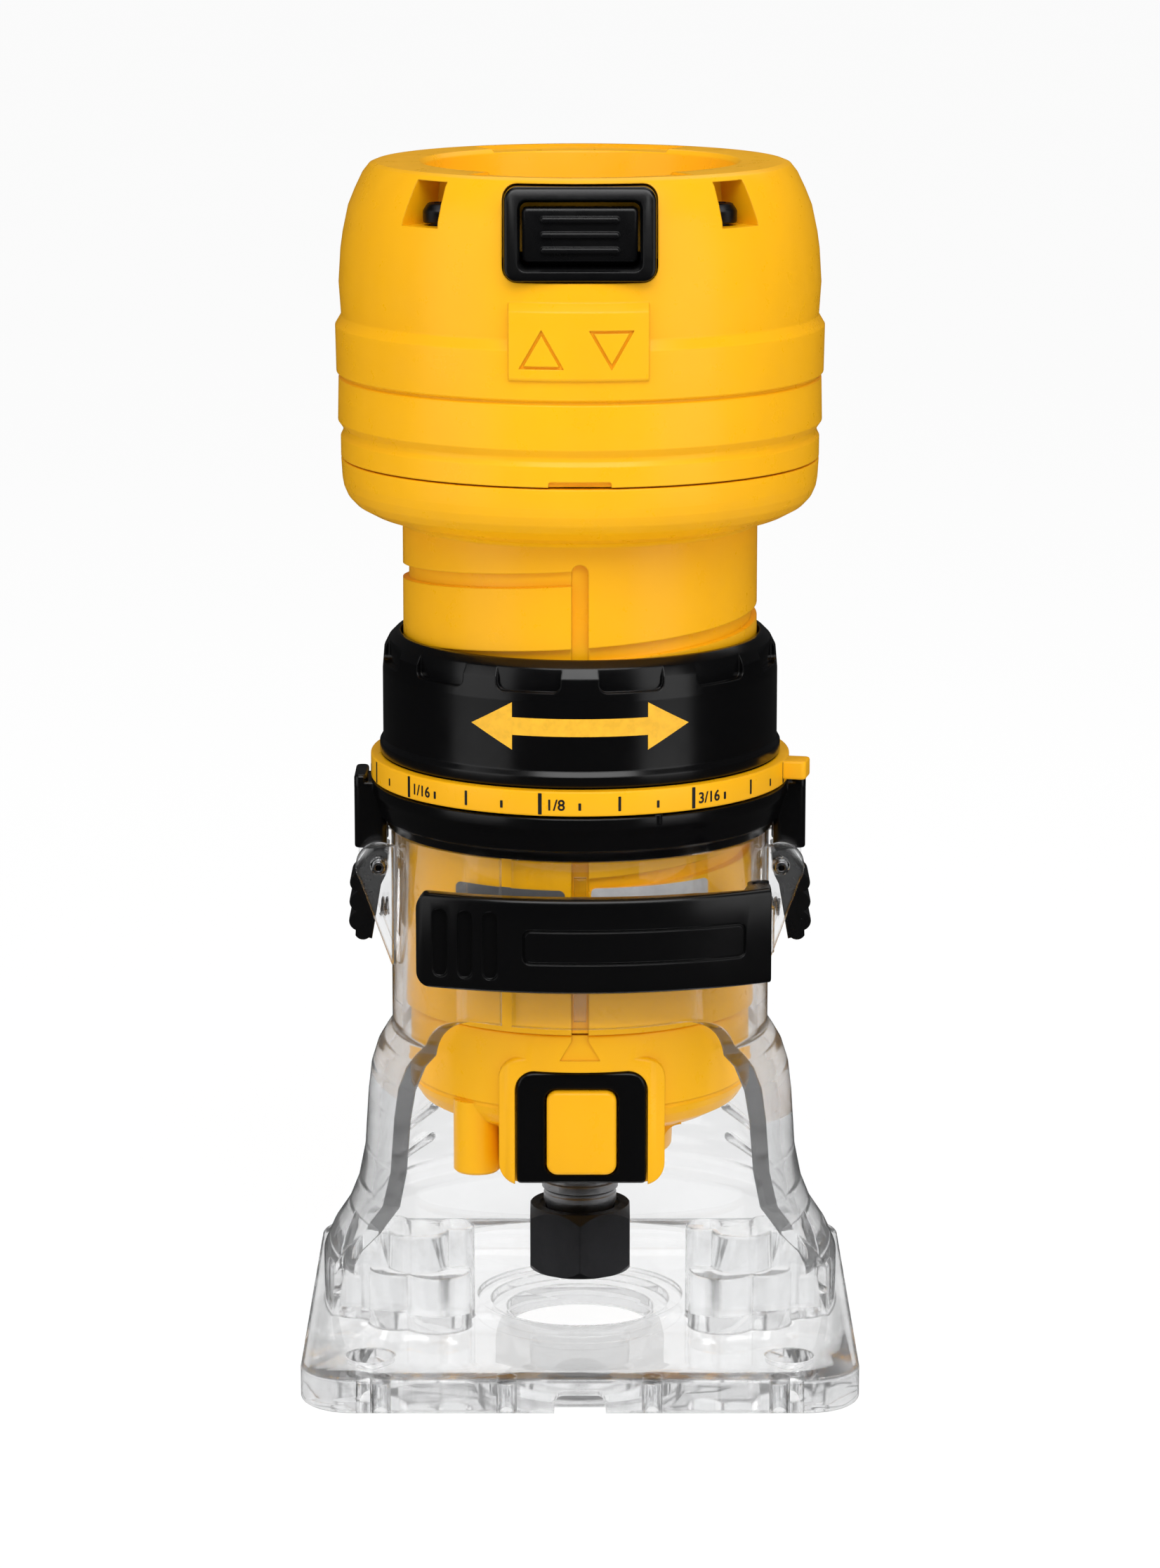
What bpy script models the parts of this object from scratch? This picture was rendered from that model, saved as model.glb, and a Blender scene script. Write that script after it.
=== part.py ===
"""Trim router: a clear base with a clamped motor unit, a depth ring and a lift-off collar.

The frame is the tool's own: +Z up along the spindle, the front (switch and spindle lock) at -Y,
and the origin at the centre of the base's underside. Every dimension below is in millimetres;
finished meshes are scaled to metres. Angles called azimuth run from the front towards +X.
"""

from math import cos, pi, radians, sin, sqrt, tau

import bmesh
import bpy
from mathutils import Matrix, Vector

MM = 0.001
GAP = 0.3

ROUND = 36
INNER_ROUND = 20
SMALL_ROUND = 14
TINY_ROUND = 10

# Base
PLATE_SIDE = 92.0
PLATE_THICK = 6.0
PLATE_CORNER = 9.0
SLEEVE_INNER = 30.2
SLEEVE_OUTER = 31.8
SLEEVE_TOP = 89.0
SLEEVE_FOOT = 55.0
WINDOW_TOP = 61.0
WINDOW_CORNER = 9.0
WINDOW_PLANE = -18.4
BOSSES = (
    (5.0, 22.0, 33.4, -10.5), (5.2, 22.0, 26.8, -14.8), (4.9, 15.6, 25.2, -16.4), (4.6, 15.6, 30.4, -15.6),
    (4.4, 13.5, 37.6, -9.6),
)
SCREW_HOLE = 34.6

# Motor unit
NECK_R = 29.5
NECK_BORE = 27.2
NECK_FOOT = 59.5
PARTING = 151.5
TOTAL_HEIGHT = 200.0
HELIX_LEAD = 12.7
HELIX_Z = 135.4
HELIX_TURNS = 4
HELIX_START = -1.0
GROOVE_TALL = 2.7
GROOVE_DEEP = 1.0
KEY_SLOT_WIDE = 2.75
KEY_SLOT_TOP = 137.6
KEY_SLOT_FLOOR = 28.2

# Depth ring, scale ring and collar
COLLAR_FOOT = SLEEVE_TOP + GAP
COLLAR_TOP = 97.0
SCALE_FOOT = 97.4
SCALE_TOP = 101.5
SCALE_R = 35.1
RING_TOP = 122.2
RECESS_FLOOR = 117.2
RING_R = 33.0
RING_BORE = 30.0
RECESSES = 12
PIN_Z = 113.0

# Latches and clamp
LATCH_X = 33.7
LATCH_Z = 82.8
ARM_TOP = 98.0
ARM_FOOT = 85.5
CLAMP_PIVOT = (29.8, -25.0)
CLAMP_LOW = 68.5
CLAMP_HIGH = 84.2
CLAMP_ARC = ((33.0, -29.0), (0.0, -38.0), (-27.5, -32.0))

# Nose, lock and spindle
NOSE_FOOT = 33.3
NOSE_R = 29.8
LOCK_FACE = -27.6
LOCK_PIN_Z = 47.5
BUTTON_X = 0.25
NUT_FOOT = 11.2
NUT_TOP = 22.4
NUT_FLATS = 17.0
SPINDLE_R = 6.5

# Head
SWITCH_LOW = 184.3
SWITCH_HIGH = 198.9
SWITCH_MID = 191.4
SWITCH_SLOPE = 0.22
POCKET_AZIMUTHS = (42.0, 138.0, 222.0, 318.0)
POCKET_R = 33.4
GLAND_Z = 174.0


# ---------------------------------------------------------------- scene and materials

def clear_scene():
    for obj in list(bpy.data.objects):
        bpy.data.objects.remove(obj, do_unlink=True)


def material(name, colour, roughness, metallic=0.0, alpha=1.0):
    """A Principled material; one is made the first time its name is asked for."""
    made = bpy.data.materials.get(name)
    if made:
        return made
    made = bpy.data.materials.new(name)
    made.use_nodes = True
    shader = made.node_tree.nodes["Principled BSDF"]
    shader.inputs["Base Color"].default_value = (*colour, 1.0)
    shader.inputs["Roughness"].default_value = roughness
    shader.inputs["Metallic"].default_value = metallic
    shader.inputs["Alpha"].default_value = alpha
    made.diffuse_color = (*colour, alpha)
    return made


def yellow():
    return material("yellow_plastic", (0.98, 0.50, 0.02), 0.35)


def black():
    return material("black_plastic", (0.012, 0.012, 0.013), 0.35)


def clear():
    return material("clear_plastic", (0.86, 0.88, 0.89), 0.05, alpha=0.35)


def steel():
    return material("steel", (0.55, 0.56, 0.58), 0.3, 1.0)


def dark_steel():
    return material("blackened_steel", (0.05, 0.05, 0.055), 0.4, 1.0)


def copper():
    return material("copper", (0.72, 0.30, 0.14), 0.35, 1.0)


def brass():
    return material("brass", (0.75, 0.55, 0.22), 0.35, 1.0)


def carbon():
    return material("carbon", (0.02, 0.02, 0.02), 0.8)


# ---------------------------------------------------------------- shapes, in millimetres

def on_circle(radius, azimuth):
    """The plan point at this radius and azimuth in degrees, 0 at the front and 90 at +X."""
    angle = radians(azimuth)
    return (radius * sin(angle), -radius * cos(angle))


def arc(centre, radius, start, end, steps):
    """Points of a circular arc, its angles in ordinary degrees."""
    cx, cy = centre
    angles = [radians(start + (end - start) * i / steps) for i in range(steps + 1)]
    return [(cx + radius * cos(a), cy + radius * sin(a)) for a in angles]


def rounded_rect(x0, x1, y0, y1, radius, steps=4):
    """A rectangle's outline with round corners, anticlockwise."""
    corners = (
        ((x1 - radius, y0 + radius), -90),
        ((x1 - radius, y1 - radius), 0),
        ((x0 + radius, y1 - radius), 90),
        ((x0 + radius, y0 + radius), 180),
    )
    points = []
    for centre, start in corners:
        points += arc(centre, radius, start, start + 90, steps)
    return points


def closed(bm):
    """Turns every face outwards; the normals of long winding shapes can come out inside out."""
    bmesh.ops.recalc_face_normals(bm, faces=bm.faces)
    if bm.calc_volume(signed=True) < 0:
        bmesh.ops.reverse_faces(bm, faces=bm.faces)
    return bm


def turned(profile, segments=ROUND):
    """A closed profile of (radius, height) points turned about Z; points at radius 0 are poles."""
    bm = bmesh.new()
    rings = []
    for radius, height in profile:
        if radius == 0:
            rings.append([bm.verts.new((0, 0, height))])
            continue
        steps = [tau * i / segments for i in range(segments)]
        rings.append([bm.verts.new((radius * cos(a), radius * sin(a), height)) for a in steps])
    for ring, after in zip(rings, rings[1:] + rings[:1]):
        if len(ring) == 1 and len(after) == 1:
            continue
        for i in range(segments):
            j = (i + 1) % segments
            if len(ring) == 1:
                bm.faces.new((ring[0], after[j], after[i]))
            elif len(after) == 1:
                bm.faces.new((ring[i], ring[j], after[0]))
            else:
                bm.faces.new((ring[i], ring[j], after[j], after[i]))
    return closed(bm)


AXES = {
    "Z": Matrix.Identity(3),
    "Y": Matrix(((1, 0, 0), (0, 0, 1), (0, 1, 0))),
    "X": Matrix(((0, 0, 1), (1, 0, 0), (0, 1, 0))),
}


def prism(outline, low, high, along="Z"):
    """An outline extruded along an axis; it lies in XY, in XZ for Y, or in YZ for X."""
    bm = bmesh.new()
    turn = AXES[along]
    ends = []
    for level in (low, high):
        ends.append([bm.verts.new(turn @ Vector((u, v, level))) for u, v in outline])
    bm.faces.new(ends[0])
    bm.faces.new(ends[1])
    count = len(outline)
    for i in range(count):
        j = (i + 1) % count
        bm.faces.new((ends[0][i], ends[0][j], ends[1][j], ends[1][i]))
    return closed(bm)


def box(x0, x1, y0, y1, z0, z1):
    return prism([(x0, y0), (x1, y0), (x1, y1), (x0, y1)], z0, z1)


def rod(radius, low, high, along="Z", at=(0.0, 0.0), segments=SMALL_ROUND):
    """A cylinder along an axis; at is its centre in the plane across that axis."""
    return prism(arc(at, radius, 0, 360 - 360 / segments, segments - 1), low, high, along)


def arc_wall(inner, outer, start, end, low, high, steps=8):
    """Part of a round wall between two azimuths."""
    angles = [start + (end - start) * i / steps for i in range(steps + 1)]
    outline = [on_circle(outer, a) for a in angles] + [on_circle(inner, a) for a in reversed(angles)]
    return prism(outline, low, high)


def swept(points, radius, sides=6):
    """A round tube along a line of points, with flat ends."""
    bm = bmesh.new()
    path = [Vector(p) for p in points]
    across = None
    rings = []
    for i, point in enumerate(path):
        ahead = (path[min(i + 1, len(path) - 1)] - path[max(i - 1, 0)]).normalized()
        if across is None:
            across = ahead.orthogonal().normalized()
        across = (across - ahead * across.dot(ahead)).normalized()
        other = ahead.cross(across)
        ring = []
        for k in range(sides):
            angle = tau * k / sides
            ring.append(bm.verts.new(point + radius * (cos(angle) * across + sin(angle) * other)))
        rings.append(ring)
    for ring, after in zip(rings, rings[1:]):
        for k in range(sides):
            n = (k + 1) % sides
            bm.faces.new((ring[k], ring[n], after[n], after[k]))
    bm.faces.new(rings[0])
    bm.faces.new(rings[-1])
    return closed(bm)


def coil(radius, wire, start, end, turns, per_turn=10):
    """A compression spring between two points, as a swept helix."""
    start, end = Vector(start), Vector(end)
    ahead = (end - start).normalized()
    across = ahead.orthogonal().normalized()
    other = ahead.cross(across)
    count = turns * per_turn
    points = []
    for i in range(count + 1):
        angle = tau * i / per_turn
        spoke = radius * (cos(angle) * across + sin(angle) * other)
        points.append(start.lerp(end, i / count) + spoke)
    return swept(points, wire, 4)


def moved(bm, shift=(0, 0, 0), turn=0.0):
    """The same shape turned about Z by an azimuth in degrees and then shifted."""
    matrix = Matrix.Translation(shift) @ Matrix.Rotation(radians(turn), 4, "Z")
    bmesh.ops.transform(bm, matrix=matrix, verts=bm.verts)
    return bm


def sloped(bm, level, slope):
    """Leans a shape back along +Y in proportion to its height over a level."""
    for vert in bm.verts:
        vert.co.y += slope * (vert.co.z - level)
    return bm


def together(*shapes):
    """Several separate shapes in one mesh."""
    whole = bmesh.new()
    for bm in shapes:
        piece = bpy.data.meshes.new("piece")
        bm.to_mesh(piece)
        bm.free()
        whole.from_mesh(piece)
        bpy.data.meshes.remove(piece)
    return whole


# ---------------------------------------------------------------- objects

BODIES = {}


def body(name, pivot=(0, 0, 0)):
    """An empty on a moving body's joint axis, which its pieces are parented to."""
    empty = bpy.data.objects.new(name + "_axis", None)
    empty.location = Vector(pivot) * MM
    empty.empty_display_size = 0.02
    bpy.context.scene.collection.objects.link(empty)
    BODIES[name] = (empty, Vector(pivot))


def node(name, shape, finish, on, smooth=True):
    """One sub-part: its mesh in metres about its body's pivot."""
    empty, pivot = BODIES[on]
    bmesh.ops.translate(shape, vec=-pivot, verts=shape.verts)
    bmesh.ops.scale(shape, vec=(MM, MM, MM), verts=shape.verts)
    mesh = bpy.data.meshes.new(name)
    shape.to_mesh(mesh)
    shape.free()
    mesh.materials.append(finish)
    if smooth:
        mesh.shade_smooth()
        mesh.set_sharp_from_angle(angle=radians(32))
    obj = bpy.data.objects.new(name, mesh)
    obj.parent = empty
    bpy.context.scene.collection.objects.link(obj)
    return obj


def boolean(target, shape, operation):
    """Adds or cuts a shape with a Boolean whose helper object stays out of the model."""
    count = len(target.modifiers)
    helper_name = f"{target.name}_{operation.lower()}_{count}"
    bmesh.ops.scale(shape, vec=(MM, MM, MM), verts=shape.verts)
    mesh = bpy.data.meshes.new(helper_name)
    shape.to_mesh(mesh)
    shape.free()
    helper = bpy.data.objects.new(helper_name, mesh)
    helper.hide_render = True
    helper.display_type = "WIRE"
    bpy.context.scene.collection.objects.link(helper)
    modifier = target.modifiers.new(helper_name, "BOOLEAN")
    modifier.operation = operation
    modifier.solver = "EXACT"
    modifier.object = helper


def cut(target, *shapes):
    boolean(target, together(*shapes), "DIFFERENCE")


def fuse(target, *shapes):
    boolean(target, together(*shapes), "UNION")


# ---------------------------------------------------------------- clear base

def chamber_profile():
    """The flared chamber and the sleeve above it, up the outside and down the inside."""
    outside = [
        (43.8, 5.0), (43.8, 15.0), (42.2, 18.6), (39.6, 22.5), (37.8, 27.0), (36.6, 33.0),
        (36.0, 42.4), (35.4, 47.5), (34.3, 51.0), (33.0, 53.2), (SLEEVE_OUTER, SLEEVE_FOOT),
        (SLEEVE_OUTER, SLEEVE_TOP),
    ]
    inside = [
        (SLEEVE_INNER, SLEEVE_TOP), (SLEEVE_INNER, 53.2), (31.6, 51.2), (33.0, 47.0),
        (33.7, 42.0), (34.3, 33.0), (35.4, 26.5), (37.3, 21.5), (39.6, 18.0), (40.4, 15.0), (40.4, 5.0),
    ]
    return outside + inside


def latch_ear(side):
    """One clear cheek that carries a latch pin: a round eye with a web down the sleeve."""
    outline = [(30.4, 66.0), (31.6, 66.0)]
    outline += arc((LATCH_X, LATCH_Z), 3.9, -35, 118, 9)
    outline += [(30.4, 86.6)]
    return together(*[prism([(side * x, z) for x, z in outline], y0, y0 + 2.0, "Y") for y0 in (5.4, -7.4)])


def clamp_lug():
    """The clear ear on the sleeve that the clamp lever hinges on."""
    outline = [(25.6, -16.9), (22.4, -20.6), *arc(CLAMP_PIVOT, 2.1, 218, 404, 8)]
    return prism(outline, CLAMP_LOW + 4.1, CLAMP_HIGH - 4.1)


def strap_lug():
    """The clear ear across the sleeve's slit, which anchors the clamp strap."""
    return arc_wall(SLEEVE_INNER + 0.6, 36.0, -43.5, -36.5, 71.2, 81.6, 2)


def window_section():
    """Side view (y, height) of what is cut away in front, leaving a wall edge that faces forward."""
    corner = (WINDOW_PLANE - WINDOW_CORNER, WINDOW_TOP - WINDOW_CORNER)
    edge = [(-60.0, 2.0), (-12.0, 2.0), (-13.5, 15.0), (WINDOW_PLANE, 27.0)]
    return edge + arc(corner, WINDOW_CORNER, 0, 90, 6) + [(-60.0, WINDOW_TOP)]


def clear_base():
    base = node("clear_base", turned(chamber_profile()), clear(), "base")
    back = rounded_rect(-15.0, 15.0, 17.0, 47.0, 8.0)
    cut(base, prism(window_section(), -50.0, 50.0, "X"), prism(back, 5.0, 60.0, "Y"))
    half = PLATE_SIDE / 2
    fuse(base, prism(rounded_rect(-half, half, -half, half, PLATE_CORNER, 6), 0.0, PLATE_THICK))
    for radius, top, x, y in BOSSES:
        fuse(base, *[rod(radius, 5.0, top, at=(side * x, y)) for side in (-1, 1)])
    fuse(base, latch_ear(-1), latch_ear(1), clamp_lug(), strap_lug())
    opening = [
        (0, -1), (12.5, -1), (12.5, 3.8), (15.2, 3.8), (15.2, 5.2), (17.5, 5.2), (17.5, 8), (0, 8),
    ]
    slit = box(-12.8, -11.2, -45.0, -20.0, 59.0, 91.0)
    notch = prism(rounded_rect(-4.2, 4.2, -2.0, 3.2, 1.6), -47.0, -42.5, "Y")
    cut(base, turned(opening), slit, notch, *screw_holes())
    pin_holes = [rod(1.4, -9.0, 9.0, "Y", (side * LATCH_X, LATCH_Z)) for side in (-1, 1)]
    clamp_holes = [rod(1.6, 60.0, 90.0, at=CLAMP_PIVOT), rod(1.5, 60.0, 90.0, at=strap_pin_at())]
    cut(base, *pin_holes, *clamp_holes)


def screw_holes():
    """Stepped corner holes for accessories: a screw hole under a counterbore."""
    step = [(0, -1), (2.2, -1), (2.2, 3.0), (4.0, 3.0), (4.0, 7.0), (0, 7.0)]
    places = [(sx * SCREW_HOLE, sy * 33.7) for sx in (-1, 1) for sy in (-1, 1)]
    return [moved(turned(step, SMALL_ROUND), (x, y, 0)) for x, y in places]


def strap_pin_at():
    return on_circle(34.0, -40.0)


def base_fittings():
    node("guide_key", box(-1.0, 1.0, -29.85, -28.95, 62.0, 86.0), clear(), "base", smooth=False)
    node("clamp_hinge_pin", rod(1.3, 68.8, 83.9, at=CLAMP_PIVOT), steel(), "base")
    node("clamp_strap_pin", rod(1.2, 70.8, 82.0, at=strap_pin_at()), steel(), "base")
    strap = arc_wall(32.3, 33.3, -35.8, 34.0, 73.0, 79.6, 14)
    node("clamp_strap", strap, steel(), "base")
    for side, name in ((-1, "latch_pin_left"), (1, "latch_pin_right")):
        pin = rod(1.1, -8.2, 8.2, "Y", (side * LATCH_X, LATCH_Z))
        node(name, pin, steel(), "base")


# ---------------------------------------------------------------- clamp lever and latches

def circle_through(a, b, c):
    """Centre and radius of the circle through three plan points."""
    (ax, ay), (bx, by), (cx, cy) = a, b, c
    d = 2 * (ax * (by - cy) + bx * (cy - ay) + cx * (ay - by))
    aa, bb, cc = ax * ax + ay * ay, bx * bx + by * by, cx * cx + cy * cy
    x = (aa * (by - cy) + bb * (cy - ay) + cc * (ay - by)) / d
    y = (aa * (cx - bx) + bb * (ax - cx) + cc * (bx - ax)) / d
    return (x, y), sqrt((ax - x) ** 2 + (ay - y) ** 2)


def clamp_lever():
    """A curved plate over the sleeve's front, with hinge knuckles at its right end."""
    centre, radius = circle_through(*CLAMP_ARC)
    left = radians(-90) - (centre[0] + 27.5) / radius
    right = radians(-90) + (32.6 - centre[0]) / radius
    spread = [left + (right - left) * i / 16 for i in range(17)]
    outer = [(centre[0] + radius * cos(a), centre[1] + radius * sin(a)) for a in spread]
    inner = []
    for i, a in enumerate(spread):
        thick = 3.4 if i < 13 else 3.4 - 1.2 * (i - 12) / 4
        inner.append((centre[0] + (radius - thick) * cos(a), centre[1] + (radius - thick) * sin(a)))
    lever = node("clamp_lever", prism(outer + inner[::-1], CLAMP_LOW, CLAMP_HIGH), black(), "clamp")
    knuckles = []
    for low, high in ((CLAMP_LOW + 0.1, CLAMP_LOW + 3.8), (CLAMP_HIGH - 3.8, CLAMP_HIGH - 0.1)):
        outline = arc(CLAMP_PIVOT, 2.4, 60, 200, 8) + [(26.6, -30.4), (31.2, -29.2)]
        knuckles.append(prism(outline, low, high))
    fuse(lever, *knuckles)
    slots = []
    for x in (-22.8, -18.7, -14.6):
        y = centre[1] - sqrt(radius ** 2 - (x - centre[0]) ** 2)
        slots.append(prism(rounded_rect(x - 1.2, x + 1.2, 70.6, 81.9, 1.1), y - 2.0, y + 0.7, "Y"))
    cut(lever, rod(1.6, 60.0, 90.0, at=CLAMP_PIVOT), *slots)


def latch_lever(name, side):
    """A finger latch: a hub on its pin, a ribbed tail to squeeze and a nose behind the collar's arm."""
    grip = []
    for i in range(3):
        grip += arc((36.9, 80.4 - 3.4 * i), 1.9, 60, -60, 4)
    outline = arc((LATCH_X, LATCH_Z), 2.4, 20, 128, 6)
    outline += [(32.3, 83.6), (32.5, 81.2), (33.4, 79.4), (35.0, 69.9), (38.0, 70.0)]
    outline += grip[::-1]
    lever = node(name, prism([(side * x, z) for x, z in outline], -4.9, 4.9, "Y"), black(), name)
    nose = rounded_rect(32.7, 34.7, 83.0, 87.6, 0.6, 2)
    fuse(lever, prism([(side * x, z) for x, z in nose], -2.4, 2.4, "Y"))
    cut(lever, rod(1.4, -9.0, 9.0, "Y", (side * LATCH_X, LATCH_Z)))


def latches():
    for side, name in ((-1, "latch_left"), (1, "latch_right")):
        latch_lever(name, side)
    for side, name in ((-1, "latch_spring_left"), (1, "latch_spring_right")):
        spring = coil(1.5, 0.25, (side * 32.3, 0, 74.5), (side * 33.7, 0, 74.5), 2, 8)
        node(name, spring, steel(), "base")


# ---------------------------------------------------------------- collar and rings

def quick_release_collar():
    """The black collar that sits on the sleeve, with an arm at each side for the latches."""
    profile = [
        (32.4, COLLAR_FOOT), (33.4, 90.6), (34.4, 93.4), (35.0, 95.2), (35.0, COLLAR_TOP),
        (31.2, COLLAR_TOP), (31.2, 106.2), (30.4, 106.2), (30.4, COLLAR_FOOT),
    ]
    collar = node("quick_release_collar", turned(profile), black(), "collar")
    arms, crowns, slots = [], [], []
    for side in (-1, 1):
        low, high = sorted((side * 32.4, side * 37.8))
        arms.append(prism(rounded_rect(low, high, -5.0, 5.0, 0.9, 3), ARM_FOOT, ARM_TOP - 1.2))
        low, high = sorted((side * 35.6, side * 37.8))
        crowns.append(prism(rounded_rect(low, high, -5.0, 5.0, 0.9, 3), ARM_TOP - 2.0, ARM_TOP))
        low, high = sorted((side * 31.9, side * 36.5))
        slots.append(box(low, high, -3.0, 3.0, ARM_FOOT - 1.5, ARM_FOOT + 3.5))
    fuse(collar, *arms)
    fuse(collar, *crowns)
    cut(collar, *slots)


def pin_azimuth():
    """Where the helical groove passes the follower pin's height."""
    return ((PIN_Z - HELIX_Z) / HELIX_LEAD * 360.0) % 360.0


def radial_rod(radius, inner, outer, azimuth, height, segments=TINY_ROUND):
    """A cylinder along a radius of the tool."""
    shape = rod(radius, inner, outer, "X", (0.0, height), segments)
    return moved(shape, turn=azimuth - 90.0)


def depth_ring():
    """The ring that is turned to move the motor, with grip recesses round its top edge."""
    profile = [
        (32.9, SCALE_FOOT), (32.9, 101.8), (33.6, 101.9), (33.6, 103.7), (RING_R, 104.4), (RING_R, 115.8),
        (32.7, 119.4), (31.8, 121.0), (30.6, RING_TOP), (RING_BORE, RING_TOP), (RING_BORE, 106.6),
        (31.6, 106.6), (31.6, SCALE_FOOT),
    ]
    ring = node("depth_ring", turned(profile), black(), "depth_ring")
    recesses = []
    for i in range(RECESSES):
        middle = 15.0 + i * 360.0 / RECESSES
        recesses.append(arc_wall(31.9, 36.0, middle - 9.5, middle + 9.5, RECESS_FLOOR, 126.0, 3))
    cut(ring, *recesses)
    cut(ring, radial_rod(1.3, 29.0, 36.0, pin_azimuth(), PIN_Z))
    pin = radial_rod(0.95, 28.85, 32.7, pin_azimuth(), PIN_Z)
    node("follower_pin", pin, steel(), "depth_ring")


def scale_ring():
    """The yellow scale, which turns on the depth ring so that it can be set to zero."""
    profile = [(SCALE_R, SCALE_FOOT), (SCALE_R, SCALE_TOP), (33.2, SCALE_TOP), (33.2, SCALE_FOOT)]
    ring = node("scale_ring", turned(profile), yellow(), "scale_ring")
    tab = prism(rounded_rect(34.2, 38.8, -2.6, 2.6, 0.8, 3), ARM_TOP + GAP, SCALE_TOP - 0.1)
    fuse(ring, moved(tab, turn=78.0 - 90.0))


# ---------------------------------------------------------------- motor unit shells

def helix_cutter():
    """A square ribbon wound round the neck, which cuts the depth groove."""
    bm = bmesh.new()
    per_turn = 28
    count = HELIX_TURNS * per_turn
    inner, outer = NECK_R - GROOVE_DEEP, NECK_R + 1.5
    rings = []
    for i in range(count + 1):
        azimuth = HELIX_START - 360.0 * i / per_turn
        height = HELIX_Z + HELIX_LEAD * azimuth / 360.0
        near, far = on_circle(inner, azimuth), on_circle(outer, azimuth)
        low, high = height - GROOVE_TALL / 2, height + GROOVE_TALL / 2
        corners = [(*near, low), (*far, low), (*far, high), (*near, high)]
        rings.append([bm.verts.new(c) for c in corners])
    for ring, after in zip(rings, rings[1:]):
        for k in range(4):
            n = (k + 1) % 4
            bm.faces.new((ring[k], ring[n], after[n], after[k]))
    bm.faces.new(rings[0])
    bm.faces.new(rings[-1])
    return closed(bm)


def motor_housing():
    """The neck that slides in the sleeve, with the lower half of the head on top of it."""
    flange = PARTING - GAP / 2
    profile = [
        (NECK_R, NECK_FOOT), (NECK_R, 140.6), (30.4, 141.0), (34.6, 142.4), (37.2, 143.8), (38.5, 145.2),
        (39.15, 146.7), (39.4, 148.1), (39.6, flange), (37.4, flange), (37.2, 147.6), (35.4, 145.4),
        (28.6, 143.2), (NECK_BORE, 142.0), (NECK_BORE, NECK_FOOT),
    ]
    housing = node("motor_housing", turned(profile, 40), yellow(), "motor")
    top = KEY_SLOT_TOP - KEY_SLOT_WIDE / 2
    half = KEY_SLOT_WIDE / 2
    slot = [(half, 50.0)] + arc((0.0, top), half, 0, 180, 6) + [(-half, 50.0)]
    cut(housing, prism(slot, -34.0, -KEY_SLOT_FLOOR, "Y"))
    cut(housing, helix_cutter())


def end_cap():
    """The head's upper shell, dished on top, with screw pockets and a switch opening."""
    foot = PARTING + GAP / 2
    profile = [
        (39.6, foot), (39.6, 154.4), (39.3, 155.6), (39.3, 156.6), (40.0, 157.6), (39.8, 164.9),
        (40.25, 165.8), (40.4, 173.9), (39.9, 174.7), (39.75, 180.3), (39.4, 185.8), (39.0, 188.6),
        (38.1, 192.8), (37.0, 195.5), (35.7, 198.2), (34.6, 199.6), (33.6, TOTAL_HEIGHT),
        (26.4, TOTAL_HEIGHT), (25.6, 199.3), (24.7, 194.0), (23.4, 192.3), (0, 192.0), (0, 189.4),
        (30.0, 189.2), (34.4, 188.4), (36.6, 186.0), (37.4, 181.0), (37.6, 160.0), (37.3, foot),
    ]
    cap = node("end_cap", turned(profile, 40), yellow(), "motor")
    fuse(cap, arc_wall(38.2, 41.0, -16.0, 15.4, 168.7, 181.0, 10))
    recess = rounded_rect(-12.3, 12.3, SWITCH_LOW - GAP, SWITCH_HIGH + GAP, 2.4)
    switch_recess = sloped(prism(recess, -46.0, -34.0, "Y"), SWITCH_LOW, SWITCH_SLOPE)
    pockets = []
    for azimuth in POCKET_AZIMUTHS:
        pocket = box(-3.5, 3.5, -46.0, -30.0, 191.8, 198.9)
        pockets.append(moved(pocket, turn=azimuth))
    gland_hole = rod(5.3, 30.0, 46.0, "Y", (0.0, GLAND_Z))
    cut(cap, switch_recess, *pockets, gland_hole)
    shanks = []
    for azimuth in POCKET_AZIMUTHS:
        x, y = on_circle(POCKET_R, azimuth)
        shanks.append(rod(1.9, 186.0, 193.0, at=(x, y), segments=TINY_ROUND))
    snap = box(-5.0, 5.0, -42.0, -38.6, 150.0, 152.5)
    cut(cap, *shanks, snap)


def screw(name, at, head_r, shank_r, head_low, head_high, tip, on):
    """A round-headed screw along Z, its head above its shank or, turned over, below it."""
    x, y = at
    if tip < head_low:
        profile = [
            (0, tip), (shank_r, tip), (shank_r, head_low), (head_r, head_low), (head_r, head_high),
            (1.2, head_high), (1.2, head_high - 1.4), (0, head_high - 1.4),
        ]
    else:
        profile = [
            (0, head_low + 1.2), (1.0, head_low + 1.2), (1.0, head_low), (head_r, head_low),
            (head_r, head_high), (shank_r, head_high), (shank_r, tip), (0, tip),
        ]
    node(name, moved(turned(profile, TINY_ROUND), (x, y, 0)), dark_steel(), on)


def head_fittings():
    for number, azimuth in enumerate(POCKET_AZIMUTHS, 1):
        place = on_circle(POCKET_R, azimuth)
        screw(f"cap_screw_{number}", place, 2.7, 1.5, 192.2, 195.4, 154.0, "motor")
    profile = [
        (3.4, 34.2), (3.4, 43.4), (5.6, 43.4), (6.4, 42.8), (6.4, 41.0), (5.0, 40.6), (5.0, 34.2),
    ]
    gland = turned(profile, SMALL_ROUND)
    bmesh.ops.rotate(gland, cent=(0, 0, 0), matrix=Matrix.Rotation(radians(-90), 3, "X"), verts=gland.verts)
    node("cord_gland", moved(gland, (0, 0, GLAND_Z)), black(), "motor")


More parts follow.
